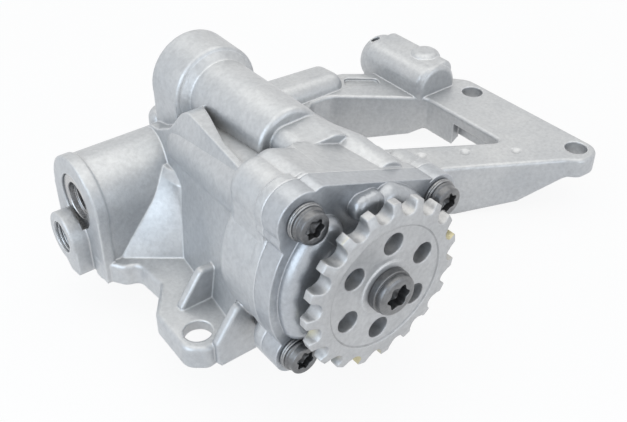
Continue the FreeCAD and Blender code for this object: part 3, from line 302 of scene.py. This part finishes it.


# %% [markdown]
# ## One recipe for all the metals
# Cast, ground and phosphated metal differ in colour, shine and grain, but each has the same
# layers: a slow drift of tone, patches, fine specks, painted shade in corners and a painted
# highlight with rubbed wear along edges. So one function builds them all, and each finish is
# a call with its own numbers.


# %% The recipe
def metal_finish(name, low, high, metallic, rough, grain, depth, edge, corner_shade=0.55, highlight_and_wear=0.3,
                 mottle=0.10):
    """Metal with a drifting tone, fine grain, painted corner shade, and edges with a painted
    highlight and wear.
    """
    material, tree, output = new_material(name)
    coords = tree.nodes.new("ShaderNodeTexCoord").outputs["Object"]
    shader = tree.nodes.new("ShaderNodeBsdfPrincipled")
    shader.inputs["Metallic"].default_value = metallic
    soft = add(tree, "ShaderNodeBevel", Radius=edge)
    soft.samples = 6

    tone = ramp_between(tree, noise(tree, coords, 55.0), low, high)
    patches = ramp_between(tree, noise(tree, coords, grain * 0.4, 5.0), (0.62, 0.62, 0.63),
                           grey(1), 0.34, 0.60)
    tone = mix_colour(tree, mottle, tone, patches, "MULTIPLY")
    specks = ramp_between(tree, noise(tree, coords, grain * 0.6, 2.0), grey(0.25), grey(1))
    tone = mix_colour(tree, 0.12, tone, specks, "MULTIPLY")
    # Painted shade: the base colour darkens where ambient occlusion finds the surface shut in.
    painted_shade = ramp_between(tree, shut_in(tree, 0.008), grey(corner_shade), grey(1), 0.15, 0.85)
    tone = mix_colour(tree, 1.0, tone, painted_shade, "MULTIPLY")
    # Painted highlight, partly rubbed wear: the base colour lightens along rounded edges, concave
    # ones too.
    edge_highlight_and_wear = calculate(tree, "MULTIPLY", highlight_and_wear_edges(tree, soft.outputs[0]), highlight_and_wear)
    tone = mix_colour(tree, edge_highlight_and_wear, tone, tuple(min(1.0, 1.35 * c + 0.04) for c in high))
    tree.links.new(tone, shader.inputs["Base Color"])

    spread = add(tree, "ShaderNodeMapRange", To_Min=rough - 0.05, To_Max=rough + 0.07)
    tree.links.new(noise(tree, coords, 160.0), spread.inputs["Value"])
    tree.links.new(spread.outputs[0], shader.inputs["Roughness"])
    bump = add(tree, "ShaderNodeBump", Strength=1.0, Distance=depth)
    tree.links.new(noise(tree, coords, grain), bump.inputs["Height"])
    tree.links.new(soft.outputs[0], bump.inputs["Normal"])
    tree.links.new(bump.outputs[0], shader.inputs["Normal"])
    tree.links.new(shader.outputs[0], output.inputs[0])
    return material, tree, shader, coords


def dress(material, *pieces):
    """Give CAD nodes, by name, or new pieces their finish."""
    for piece in pieces:
        target = nodes[piece] if isinstance(piece, str) else piece
        target.data.materials.clear()
        target.data.materials.append(material)


# %% [markdown]
# ## Cast aluminium
# The body is pressure-cast and then blasted with fine shot, which leaves a satin skin with
# no direction. Its grain is about half a millimetre across and a few hundredths deep. The
# cover is a casting too, but darker and smoother, so it gets the same recipe with its own
# numbers.

# %% Cast aluminium
cast, *_ = metal_finish(
    "cast_aluminium", (0.52, 0.53, 0.543), (0.61, 0.614, 0.618), metallic=0.60, rough=0.38,
    grain=1500.0, depth=0.00007, edge=0.0010, corner_shade=0.74, highlight_and_wear=0.6, mottle=0.26)
cover_cast, *_ = metal_finish(
    "cast_cover", (0.45, 0.466, 0.49), (0.53, 0.546, 0.568), metallic=0.68, rough=0.32,
    grain=1700.0, depth=0.00004, edge=0.0006, corner_shade=0.70, highlight_and_wear=0.45, mottle=0.30)
dress(cast, "pump_housing")
dress(cover_cast, "front_cover")
print("cast finishes:", cast.name, cover_cast.name)

# %% [markdown]
# ## Steel parts
# The screws have a dark phosphate skin, rubbed along its rims, and a painted highlight
# lightens its colour there. The shaft, the piston and the dowels are ground, and the two
# rotors are pressed from powder, so they are duller. The spring and the snap ring are dark
# drawn wire and sheet.

# %% Dark screws and bright steel
dark_steel, *_ = metal_finish(
    "dark_steel", (0.17, 0.172, 0.178), (0.27, 0.27, 0.272), metallic=0.85, rough=0.34,
    grain=2500.0, depth=0.00002, edge=0.0003, corner_shade=0.45, highlight_and_wear=0.8, mottle=0.5)
bright_steel, *_ = metal_finish(
    "bright_steel", (0.50, 0.50, 0.51), grey(0.60), metallic=0.95, rough=0.26,
    grain=3000.0, depth=0.00001, edge=0.0003, corner_shade=0.5)
spring_steel, *_ = metal_finish(
    "spring_steel", (0.22, 0.22, 0.23), grey(0.33), metallic=0.95, rough=0.32,
    grain=2600.0, depth=0.00001, edge=0.0002, corner_shade=0.5)
rotor_steel, *_ = metal_finish(
    "rotor_steel", (0.33, 0.33, 0.34), grey(0.42), metallic=0.9, rough=0.40,
    grain=2200.0, depth=0.00002, edge=0.0003, corner_shade=0.5)
dress(bright_steel, "drive_shaft", "relief_piston", "cover_dowels")
dress(spring_steel, "relief_snap_ring")
dress(rotor_steel, "inner_rotor", "outer_rotor")
print("steels:", dark_steel.name, bright_steel.name, spring_steel.name, rotor_steel.name)

# %% [markdown]
# ## The sprocket's turned face
# The sprocket's flat face keeps fine rings from turning, and its base colour has one broken
# dark line round the axis near the step in the face. Both follow the distance from the
# shaft's axis, which is the length of a point's place with its Y taken out. A painted
# reflection gives a few flanks of the teeth a cream tint, so a warm tone is let through only
# beyond the tooth roots, only where the surface faces sideways, and only in patches of a noise.

# %% The sprocket's turned face
RINGS_TO_THE_METRE = 2600.0
TOOTH_ROOT, TOOTH_FLANK = 0.0212, 0.0222
LINE_RADIUS, LINE_WIDTH = 0.0186, 0.00022
sprocket_steel, tree, shader, coords = metal_finish(
    "sprocket_steel", (0.49, 0.491, 0.495), (0.58, 0.58, 0.582), metallic=0.70, rough=0.42,
    grain=1800.0, depth=0.00003, edge=0.0006, corner_shade=0.86, highlight_and_wear=0.4, mottle=0.25)
flat = add(tree, "ShaderNodeVectorMath")
flat.operation = "MULTIPLY"
flat.inputs[1].default_value = (1, 0, 1)
reach = add(tree, "ShaderNodeVectorMath")
reach.operation = "LENGTH"
tree.links.new(coords, flat.inputs[0])
tree.links.new(flat.outputs[0], reach.inputs[0])
radius = reach.outputs["Value"]

rings = add(tree, "ShaderNodeTexNoise", Scale=1.0, Detail=4.0)
rings.noise_dimensions = "1D"
tree.links.new(calculate(tree, "MULTIPLY", radius, RINGS_TO_THE_METRE), rings.inputs["W"])
turned = add(tree, "ShaderNodeBump", Strength=1.0, Distance=0.00002)
tree.links.new(rings.outputs["Fac"], turned.inputs["Height"])
tree.links.new(shader.inputs["Normal"].links[0].from_socket, turned.inputs["Normal"])
tree.links.new(turned.outputs[0], shader.inputs["Normal"])


def rise(tree, value, start, stop):
    """Nought at start, one at stop and a straight rise between them."""
    node = add(tree, "ShaderNodeMapRange", From_Min=start, From_Max=stop)
    tree.links.new(value, node.inputs["Value"])
    return node.outputs[0]


# The painted reflection's mask: beyond the tooth roots, facing sideways, in patches of a noise.
facing = add(tree, "ShaderNodeSeparateXYZ")
tree.links.new(tree.nodes.new("ShaderNodeNewGeometry").outputs["Normal"], facing.inputs[0])
sideways = rise(tree, calculate(tree, "ABSOLUTE", facing.outputs["Y"]), 0.6, 0.2)
teeth = rise(tree, radius, TOOTH_ROOT, TOOTH_FLANK)
patches = rise(tree, noise(tree, coords, 62.0, 1.0), 0.55, 0.66)
painted_reflection = calculate(tree, "MULTIPLY", calculate(tree, "MULTIPLY", teeth, sideways), patches)
line = calculate(tree, "COMPARE", radius, LINE_RADIUS, LINE_WIDTH)
broken = calculate(tree, "MULTIPLY", line, noise(tree, coords, 240.0))
tone = shader.inputs["Base Color"].links[0].from_socket
# A broken dark line in the base colour, round the axis near the step in the face.
tone = mix_colour(tree, broken, tone, (0.26, 0.26, 0.265))
# Painted reflection: a cream tone on some tooth flanks.
tone = mix_colour(tree, painted_reflection, tone, (0.60, 0.55, 0.36))
tree.links.new(tone, shader.inputs["Base Color"])
print("nodes in the sprocket's finish:", len(tree.nodes))

# %% [markdown]
# ## Bronze and rubber
# The bushes that carry the shaft are bronze, and the ring seals are black rubber. The
# same recipe serves both: rubber is simply a finish with no metal in it and a dark base.

# %% Bronze and rubber
bronze, *_ = metal_finish(
    "bush_bronze", (0.52, 0.36, 0.17), (0.62, 0.45, 0.24), metallic=0.9, rough=0.34,
    grain=2400.0, depth=0.00001, edge=0.0003, corner_shade=0.5)
rubber, *_ = metal_finish(
    "seal_rubber", (0.018, 0.018, 0.019), grey(0.034), metallic=0.0, rough=0.55,
    grain=2600.0, depth=0.00002, edge=0.0002, corner_shade=0.6)
dress(bronze, "front_shaft_bush", "rear_shaft_bush")
dress(rubber, "relief_sleeve_seal", "intake_seal", "outlet_seal")
print("finishes:", len(bpy.data.materials))

# %% [markdown]
# ## Turned pieces
# A screw or a sleeve is turned: every ring of it is a circle about one axis. A lathe-like way
# is to start from a disc and push its face on, step by step, changing its size at each step.
# That keeps every ring named by two numbers, a place along the axis and a radius, as on a
# workshop drawing. The six-lobe recess starts as a circle too, pulled in at six places.


# %% Helpers for turned pieces
def only(piece):
    """Make one piece the only chosen one."""
    bpy.ops.object.select_all(action="DESELECT")
    piece.select_set(True)
    bpy.context.view_layer.objects.active = piece


def pick(test):
    """Choose the vertices that pass a test of their place in mm, and the faces between them."""
    mesh = bpy.context.object.data
    shape = bmesh.from_edit_mesh(mesh)
    for face in shape.faces:
        face.select = False
    for edge in shape.edges:
        edge.select = False
    for vertex in shape.verts:
        vertex.select = test(vertex.co / MM)
    shape.select_flush_mode()
    bmesh.update_edit_mesh(mesh)


def push(*step):
    """Extrude what is chosen by a step in mm."""
    bpy.ops.mesh.extrude_region_move(TRANSFORM_OT_translate={"value": Vector(step) * MM})


def scale_about(centre, factor):
    """Scale what is chosen about a centre in mm."""
    bpy.ops.transform.resize(value=(factor, factor, factor), center_override=Vector(centre) * MM)


def apply_place():
    """Put a piece's origin at nought, with its place and turn in its mesh."""
    bpy.ops.object.transform_apply(location=True, rotation=True, scale=True)


def face_out():
    """Point all faces outwards and leave edit mode."""
    bpy.ops.mesh.select_all(action="SELECT")
    bpy.ops.mesh.normals_make_consistent(inside=False)
    bpy.ops.object.mode_set(mode="OBJECT")


def smooth(angle):
    """Smooth shading except at edges sharper than an angle in degrees."""
    bpy.ops.object.shade_smooth_by_angle(angle=math.radians(angle))


def round_edges(piece, width, angle):
    """Bevel the edges sharper than an angle in degrees, by a width in mm."""
    only(piece)
    rounding = piece.modifiers.new("rounding", "BEVEL")
    rounding.width = width * MM
    rounding.segments = 3
    rounding.limit_method = "ANGLE"
    rounding.angle_limit = math.radians(angle)
    bpy.ops.object.modifier_apply(modifier="rounding")


# %% [markdown]
# ## From drawing to solid
# The first helper here is the lathe, the second cuts the recess and the third cleans up:
# rings that lie on each other are merged, the faces are pointed out and a small bevel takes
# the sharpness off, because a machined edge always has a little of it removed.


# %% The lathe
def turned_blank(name, axis, centre, profile, sides=48):
    """Disc about an axis, pushed along it through a profile of (place, radius) in mm."""
    bpy.ops.object.select_all(action="DESELECT")
    tilt = {"X": (0, math.pi / 2, 0), "Y": (math.pi / 2, 0, 0)}[axis]
    along = {"X": Vector((1, 0, 0)), "Y": Vector((0, 1, 0))}[axis]
    base = Vector(centre) - along * Vector(centre).dot(along)
    place, radius = profile[0]
    bpy.ops.mesh.primitive_circle_add(vertices=sides, radius=radius * MM, fill_type="NGON",
                                      location=(base + along * place) * MM, rotation=tilt)
    blank = bpy.context.object
    blank.name = name
    apply_place()
    bpy.ops.object.mode_set(mode="EDIT")
    bpy.ops.mesh.select_all(action="SELECT")
    for (place, radius), (next_place, next_radius) in zip(profile, profile[1:]):
        push(*(along * (next_place - place)))
        if abs(next_radius - radius) > 1e-6:
            scale_about(base + along * next_place, next_radius / radius)
    return blank


def sink_recess(place, radius, waist, depth, tip):
    """Six-lobe recess in the front end of a piece about the Y axis, with a cone at its foot."""
    for level in range(5):
        share = math.cos(level * math.pi / 4)
        pick(lambda spot: abs(spot.y - place) < 0.01
             and abs(math.hypot(spot.x, spot.z) - radius) < 0.01
             and abs(math.cos(6 * math.atan2(spot.z, spot.x)) - share) < 0.01)
        scale_about((0, place, 0), (1 + waist) / 2 + (1 - waist) / 2 * share)
    pick(lambda spot: abs(spot.y - place) < 0.01
         and math.hypot(spot.x, spot.z) < radius + 0.01)
    push(0, depth, 0)
    push(0, tip, 0)
    scale_about((0, place + depth + tip, 0), 0.25)


def finish_turned(piece, bevel):
    """Merge the rings, point the faces out, soften the edges and smooth what is round."""
    bpy.ops.mesh.select_all(action="SELECT")
    bpy.ops.mesh.remove_doubles(threshold=1e-7)
    face_out()
    round_edges(piece, bevel, 30)
    smooth(28)


# %% [markdown]
# ## Cover screws
# The screws that close the pump have a cylindrical head on a thin flange, a rounded rim and
# a wide six-lobe recess, and each stopped turning at its own angle. One is pushed out of a
# disc and the others are copies turned differently, because no two of them line up.

# %% Cover screws
SCREW_SEAT = 10.0
SCREW_AXES = [(127.8, 29.9, 8), (21.3, 30.0, 37), (222.0, 28.7, 22), (312.8, 29.4, 51)]
screw = turned_blank("flange_screw", "Y", (0, 0, 0), [
    (28.0, 2.1), (27.4, 2.5), (SCREW_SEAT, 2.5), (SCREW_SEAT, 4.95), (9.35, 4.95), (8.95, 4.4),
    (7.15, 4.4), (6.9, 4.15), (6.9, 2.95)])
sink_recess(6.9, 2.95, waist=0.76, depth=2.1, tip=0.45)
finish_turned(screw, 0.16)


def at_each_screw(master, name):
    """Join four copies of a piece, each at one screw's axis and turned by its clock."""
    copies = []
    for number, (angle, reach, clock) in enumerate(SCREW_AXES):
        only(master)
        bpy.ops.object.duplicate(linked=False)
        copy = bpy.context.object
        copy.name = "%s_%d" % (name, number)
        copy.rotation_euler = (0, math.radians(clock), 0)
        around = math.radians(angle)
        copy.location = Vector((math.cos(around), 0, math.sin(around))) * reach * MM
        apply_place()
        copies.append(copy)
    bpy.data.objects.remove(master)
    only(copies[0])
    for copy in copies:
        copy.select_set(True)
    bpy.ops.object.join()
    whole = bpy.context.object
    whole.name = whole.data.name = name + "s"
    return whole


def triangles(piece):
    """Number of triangles in a piece."""
    return sum(len(face.vertices) - 2 for face in piece.data.polygons)


screws = at_each_screw(screw, "flange_screw")
dress(dark_steel, screws)
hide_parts("cover_screws")
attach(screws, "casing")
print("screws:", len(SCREW_AXES), "triangles:", triangles(screws))

# %% [markdown]
# ## Washers
# A thick washer lies under each head. Its outer edge has a chamfer and a shallow groove,
# which shows as a bright line in the photo, so the washer isn't a plain tube. It is turned
# as the screw is, and then its two end discs are deleted and the rims bridged for the hole.

# %% Washers
WASHER_BORE = 2.9
washer = turned_blank("thick_washer", "Y", (0, 0, 0), [
    (11.5, WASHER_BORE), (11.5, 5.1), (11.35, 5.3), (10.9, 5.3), (10.8, 5.12), (10.65, 5.12),
    (10.55, 5.3), (10.2, 5.3), (10.0, 5.1), (10.0, WASHER_BORE)])
pick(lambda spot: math.hypot(spot.x, spot.z) < WASHER_BORE + 0.01)
bpy.ops.mesh.delete(type="ONLY_FACE")
pick(lambda spot: math.hypot(spot.x, spot.z) < WASHER_BORE + 0.01)
bpy.ops.mesh.bridge_edge_loops()
finish_turned(washer, 0.05)
washers = at_each_screw(washer, "thick_washer")
washer_steel, *_ = metal_finish(
    "washer_steel", (0.30, 0.302, 0.308), (0.42, 0.42, 0.422), metallic=0.85, rough=0.32,
    grain=2500.0, depth=0.00002, edge=0.0003, corner_shade=0.5, highlight_and_wear=0.8, mottle=0.5)
dress(washer_steel, washers)
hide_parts("cover_screw_washers")
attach(washers, "casing")
print("washers:", len(SCREW_AXES), "triangles:", triangles(washers))

# %% [markdown]
# ## The sprocket's screw
# One large screw holds the sprocket on the shaft. Its head has a wide collar, a fine groove
# and a second tier with a broad rounded shoulder round a deep six-lobe recess. It turns
# with the shaft, so it rides on the drive group.

# %% The sprocket's screw
head = turned_blank("tiered_screw", "Y", (0, 0, 0), [
    (18.0, 3.4), (17.4, 4.0), (0.0, 4.0), (0.0, 6.35), (-0.2, 6.5), (-2.1, 6.5), (-2.3, 6.3),
    (-2.3, 5.95), (-2.45, 5.95), (-2.45, 6.1), (-3.5, 6.1), (-4.05, 5.9), (-4.45, 5.45),
    (-4.6, 4.9), (-4.6, 3.9)])
sink_recess(-4.6, 3.9, waist=0.78, depth=3.0, tip=0.7)
finish_turned(head, 0.10)
dress(dark_steel, head)
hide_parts("sprocket_screw")
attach(head, "drive_group")


def in_mm(painted_shade):
    """Corners in metres as lists in mm, rounded for printing."""
    return [[round(value / MM, 1) for value in corner] for corner in painted_shade]


def span(piece):
    """Lowest and highest corner of a piece, in metres."""
    places = [vertex.co for vertex in piece.data.vertices]
    return [[end(place[axis] for place in places) for axis in range(3)] for end in (min, max)]


print("sprocket screw, mm:", in_mm(span(head)), "CAD box:", in_mm(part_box("sprocket_screw")))

# %% [markdown]
# ## The chain sprocket
# The sprocket is stamped and then tumbled, so no edge of its teeth or holes is sharp, and the
# teeth catch the light along soft rims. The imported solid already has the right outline. A
# copy of its mesh is joined up into whole faces, and a bevel rounds every sharp edge.

# %% The chain sprocket
bpy.ops.object.select_all(action="DESELECT")
wheel = bpy.data.objects.new("chain_sprocket", nodes["drive_sprocket"].data.copy())
bpy.context.collection.objects.link(wheel)
only(wheel)
bpy.ops.object.mode_set(mode="EDIT")
bpy.ops.mesh.select_all(action="SELECT")
bpy.ops.mesh.remove_doubles(threshold=2e-6)
bpy.ops.mesh.dissolve_limited(angle_limit=math.radians(2))
face_out()
round_edges(wheel, 0.42, 38)
smooth(30)
dress(sprocket_steel, wheel)
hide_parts("drive_sprocket")
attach(wheel, "drive_group")
check = bmesh.new()
check.from_mesh(wheel.data)
print("sprocket faces:", len(check.faces),
      "open edges:", sum(1 for edge in check.edges if len(edge.link_faces) != 2),
      "volume, mm3:", round(check.calc_volume() * 1e9, 1))
check.free()

# %% [markdown]
# ## Relief sleeve
# The valve's spring pushes on a sleeve whose bright end ring shows in the valve's mouth. The
# snap ring holds it, and the dark middle is the bore that the spring sits in. The profile
# runs out along the outside, back through the bore and ends where it began, so the discs at
# its two ends are deleted and their rims merge into one tube.

# %% Relief sleeve
VALVE_AXIS = (0, 94.0, -7.4)
SLEEVE_END = -26.4
SPRING_SEAT = -38.4
SPRING_ROOM = 6.10
sleeve = turned_blank("spring_sleeve", "X", VALVE_AXIS, [
    (SLEEVE_END, SPRING_ROOM), (SLEEVE_END, 8.9), (-26.7, 9.17), (-33.15, 9.17), (-33.15, 8.2),
    (-35.05, 8.2), (-35.05, 9.17), (-40.0, 9.17), (-40.4, 8.9), (-40.4, 7.8), (-41.75, 7.8),
    (-41.75, 9.1), (-43.1, 9.1), (-43.35, 8.85), (-43.35, 6.35), (-43.05, 6.0), (-41.2, 6.0),
    (-41.2, 4.7), (SPRING_SEAT, 4.7), (SPRING_SEAT, SPRING_ROOM), (SLEEVE_END, SPRING_ROOM)])
pick(lambda spot: spot.x > SLEEVE_END - 0.01
     and math.hypot(spot.y - VALVE_AXIS[1], spot.z - VALVE_AXIS[2]) < SPRING_ROOM + 0.01)
bpy.ops.mesh.delete(type="ONLY_FACE")
finish_turned(sleeve, 0.10)
dress(bright_steel, sleeve)
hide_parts("relief_sleeve")
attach(sleeve, "casing")
print("sleeve, mm:", in_mm(span(sleeve)), "CAD box:", in_mm(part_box("relief_sleeve")))

# %% [markdown]
# ## Coils and threads
# The small port beside the valve takes a threaded plug, so its bore has a thread. A thread
# is one triangle carried round the axis while it climbs. It could be cut with a boolean, but
# the Screw modifier carries any outline that way and keeps the faces clean.


# %% Thread in the side port
def coiled(name, start, axis_place, sides, size, turns, climb, steps):
    """Section with some sides at a place in mm, carried round an X axis while it climbs."""
    bpy.ops.object.select_all(action="DESELECT")
    bpy.ops.mesh.primitive_circle_add(vertices=sides, radius=size * MM, fill_type="NOTHING",
                                      location=Vector(start) * MM)
    coil = bpy.context.object
    coil.name = name
    apply_place()
    bpy.context.scene.cursor.location = (0, axis_place[0] * MM, axis_place[1] * MM)
    bpy.ops.object.origin_set(type="ORIGIN_CURSOR")
    winding = coil.modifiers.new("winding", "SCREW")
    winding.axis = "X"
    winding.angle = 2 * math.pi * turns
    winding.screw_offset = climb * MM
    winding.steps = winding.render_steps = steps
    bpy.ops.object.modifier_apply(modifier="winding")
    apply_place()
    bpy.ops.object.mode_set(mode="EDIT")
    bpy.ops.mesh.select_all(action="SELECT")
    bpy.ops.mesh.remove_doubles(threshold=1e-7)
    bpy.ops.mesh.select_all(action="SELECT")
    bpy.ops.mesh.fill_holes(sides=sides)
    face_out()
    smooth(35)
    return coil


PORT_Y, PORT_Z, PORT_RADIUS = 96.6, -20.3, 5.25
thread = coiled("port_thread", (-49.0, PORT_Y + PORT_RADIUS, PORT_Z), (PORT_Y, PORT_Z),
                sides=3, size=0.42, turns=3, climb=3.0, steps=120)
dress(cast, thread)
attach(thread, "casing")
print("thread, mm:", in_mm(span(thread)), "faces:", len(thread.data.polygons))

# %% [markdown]
# ## Relief spring
# The spring behind the piston sets the oil's pressure. Its wire is a circle carried round
# the axis, as the thread's triangle was. The real spring is pressed together when the piston
# slides back; this one keeps its length and rides on the casing.

# %% Relief spring
SPRING_RADIUS = 5.0
spring = coiled("coil_spring", (-37.5, VALVE_AXIS[1] + SPRING_RADIUS, VALVE_AXIS[2]),
                VALVE_AXIS[1:], sides=12, size=0.85, turns=5.5, climb=38.6, steps=198)
dress(spring_steel, spring)
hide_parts("relief_spring")
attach(spring, "casing")
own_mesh(spring)
print("spring, mm:", in_mm(span(spring)), "CAD box:", in_mm(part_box("relief_spring")))

# %% [markdown]
# ## The wall's rounded shoulder
# The left wall isn't a flat plate. It ends above in a round shoulder that falls towards the
# valve. The shoulder is a disc pushed along the wall's top, lower and smaller at each step,
# and most of it lies inside the wall, so only its round back shows.

# %% The wall's shoulder
SHOULDER = [(-14.4, 31.0, 15.3, 9.0), (-13.1, 42.0, 13.7, 9.0), (-11.6, 54.0, 11.9, 9.0),
            (-10.2, 66.0, 10.1, 9.0), (-9.0, 76.0, 8.6, 9.0), (-8.4, 81.0, 7.8, 8.6),
            (-8.2, 84.5, 7.3, 7.4), (-8.1, 87.0, 6.9, 5.2), (-8.0, 88.2, 6.7, 2.5)]
*start, radius = SHOULDER[0]
bpy.ops.object.select_all(action="DESELECT")
bpy.ops.mesh.primitive_circle_add(vertices=48, radius=radius * MM, fill_type="NGON",
                                  location=Vector(start) * MM, rotation=(math.pi / 2, 0, 0))
shoulder = bpy.context.object
shoulder.name = "wall_shoulder"
apply_place()
bpy.ops.object.mode_set(mode="EDIT")
bpy.ops.mesh.select_all(action="SELECT")
for (*start, radius), (*stop, next_radius) in zip(SHOULDER, SHOULDER[1:]):
    push(*(Vector(stop) - Vector(start)))
    scale_about(stop, next_radius / radius)
face_out()
smooth(50)
dress(cast, shoulder)
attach(shoulder, "casing")
print("shoulder, mm:", in_mm(span(shoulder)))

# %% [markdown]
# ## The pocket's floor
# Behind the wall's rib the casting has a deep pocket whose floor is a soft hollow, cast with
# the body. A grid gives one row of points for each step across, so each row is lifted
# towards the edges and leans with the wall, and then the sheet is pushed down to be solid.

# %% The pocket's floor
POCKET_PLACE = Vector((-11.5, 52.0, 14.0))
POCKET_WIDTH, POCKET_LENGTH, POCKET_DEPTH = 11.0, 40.0, 3.0
COLUMNS, ROWS = 10, 12
EDGE_LIFT, LEAN = 4.0, 0.13
bpy.ops.object.select_all(action="DESELECT")
bpy.ops.mesh.primitive_grid_add(x_subdivisions=COLUMNS, y_subdivisions=ROWS, size=1.0)
pocket = bpy.context.object
pocket.name = "pocket_floor"
pocket.scale = (POCKET_WIDTH * MM, POCKET_LENGTH * MM, 1.0)
pocket.location = POCKET_PLACE * MM
apply_place()
bpy.ops.object.mode_set(mode="EDIT")
for column in range(COLUMNS + 1):
    from_middle = column / COLUMNS - 0.5
    across = POCKET_PLACE.x + POCKET_WIDTH * from_middle
    pick(lambda spot: abs(spot.x - across) < 0.1)
    bpy.ops.transform.translate(value=(0, 0, EDGE_LIFT * (2 * from_middle) ** 2 * MM))
for row in range(ROWS + 1):
    from_middle = POCKET_LENGTH * (row / ROWS - 0.5)
    pick(lambda spot: abs(spot.y - POCKET_PLACE.y - from_middle) < 0.1)
    bpy.ops.transform.translate(value=(from_middle * LEAN * MM, 0, 0))
bpy.ops.mesh.select_all(action="SELECT")
push(0, 0, -POCKET_DEPTH)
face_out()
smooth(40)
dress(cast, pocket)
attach(pocket, "casing")
print("pocket floor, mm:", in_mm(span(pocket)))
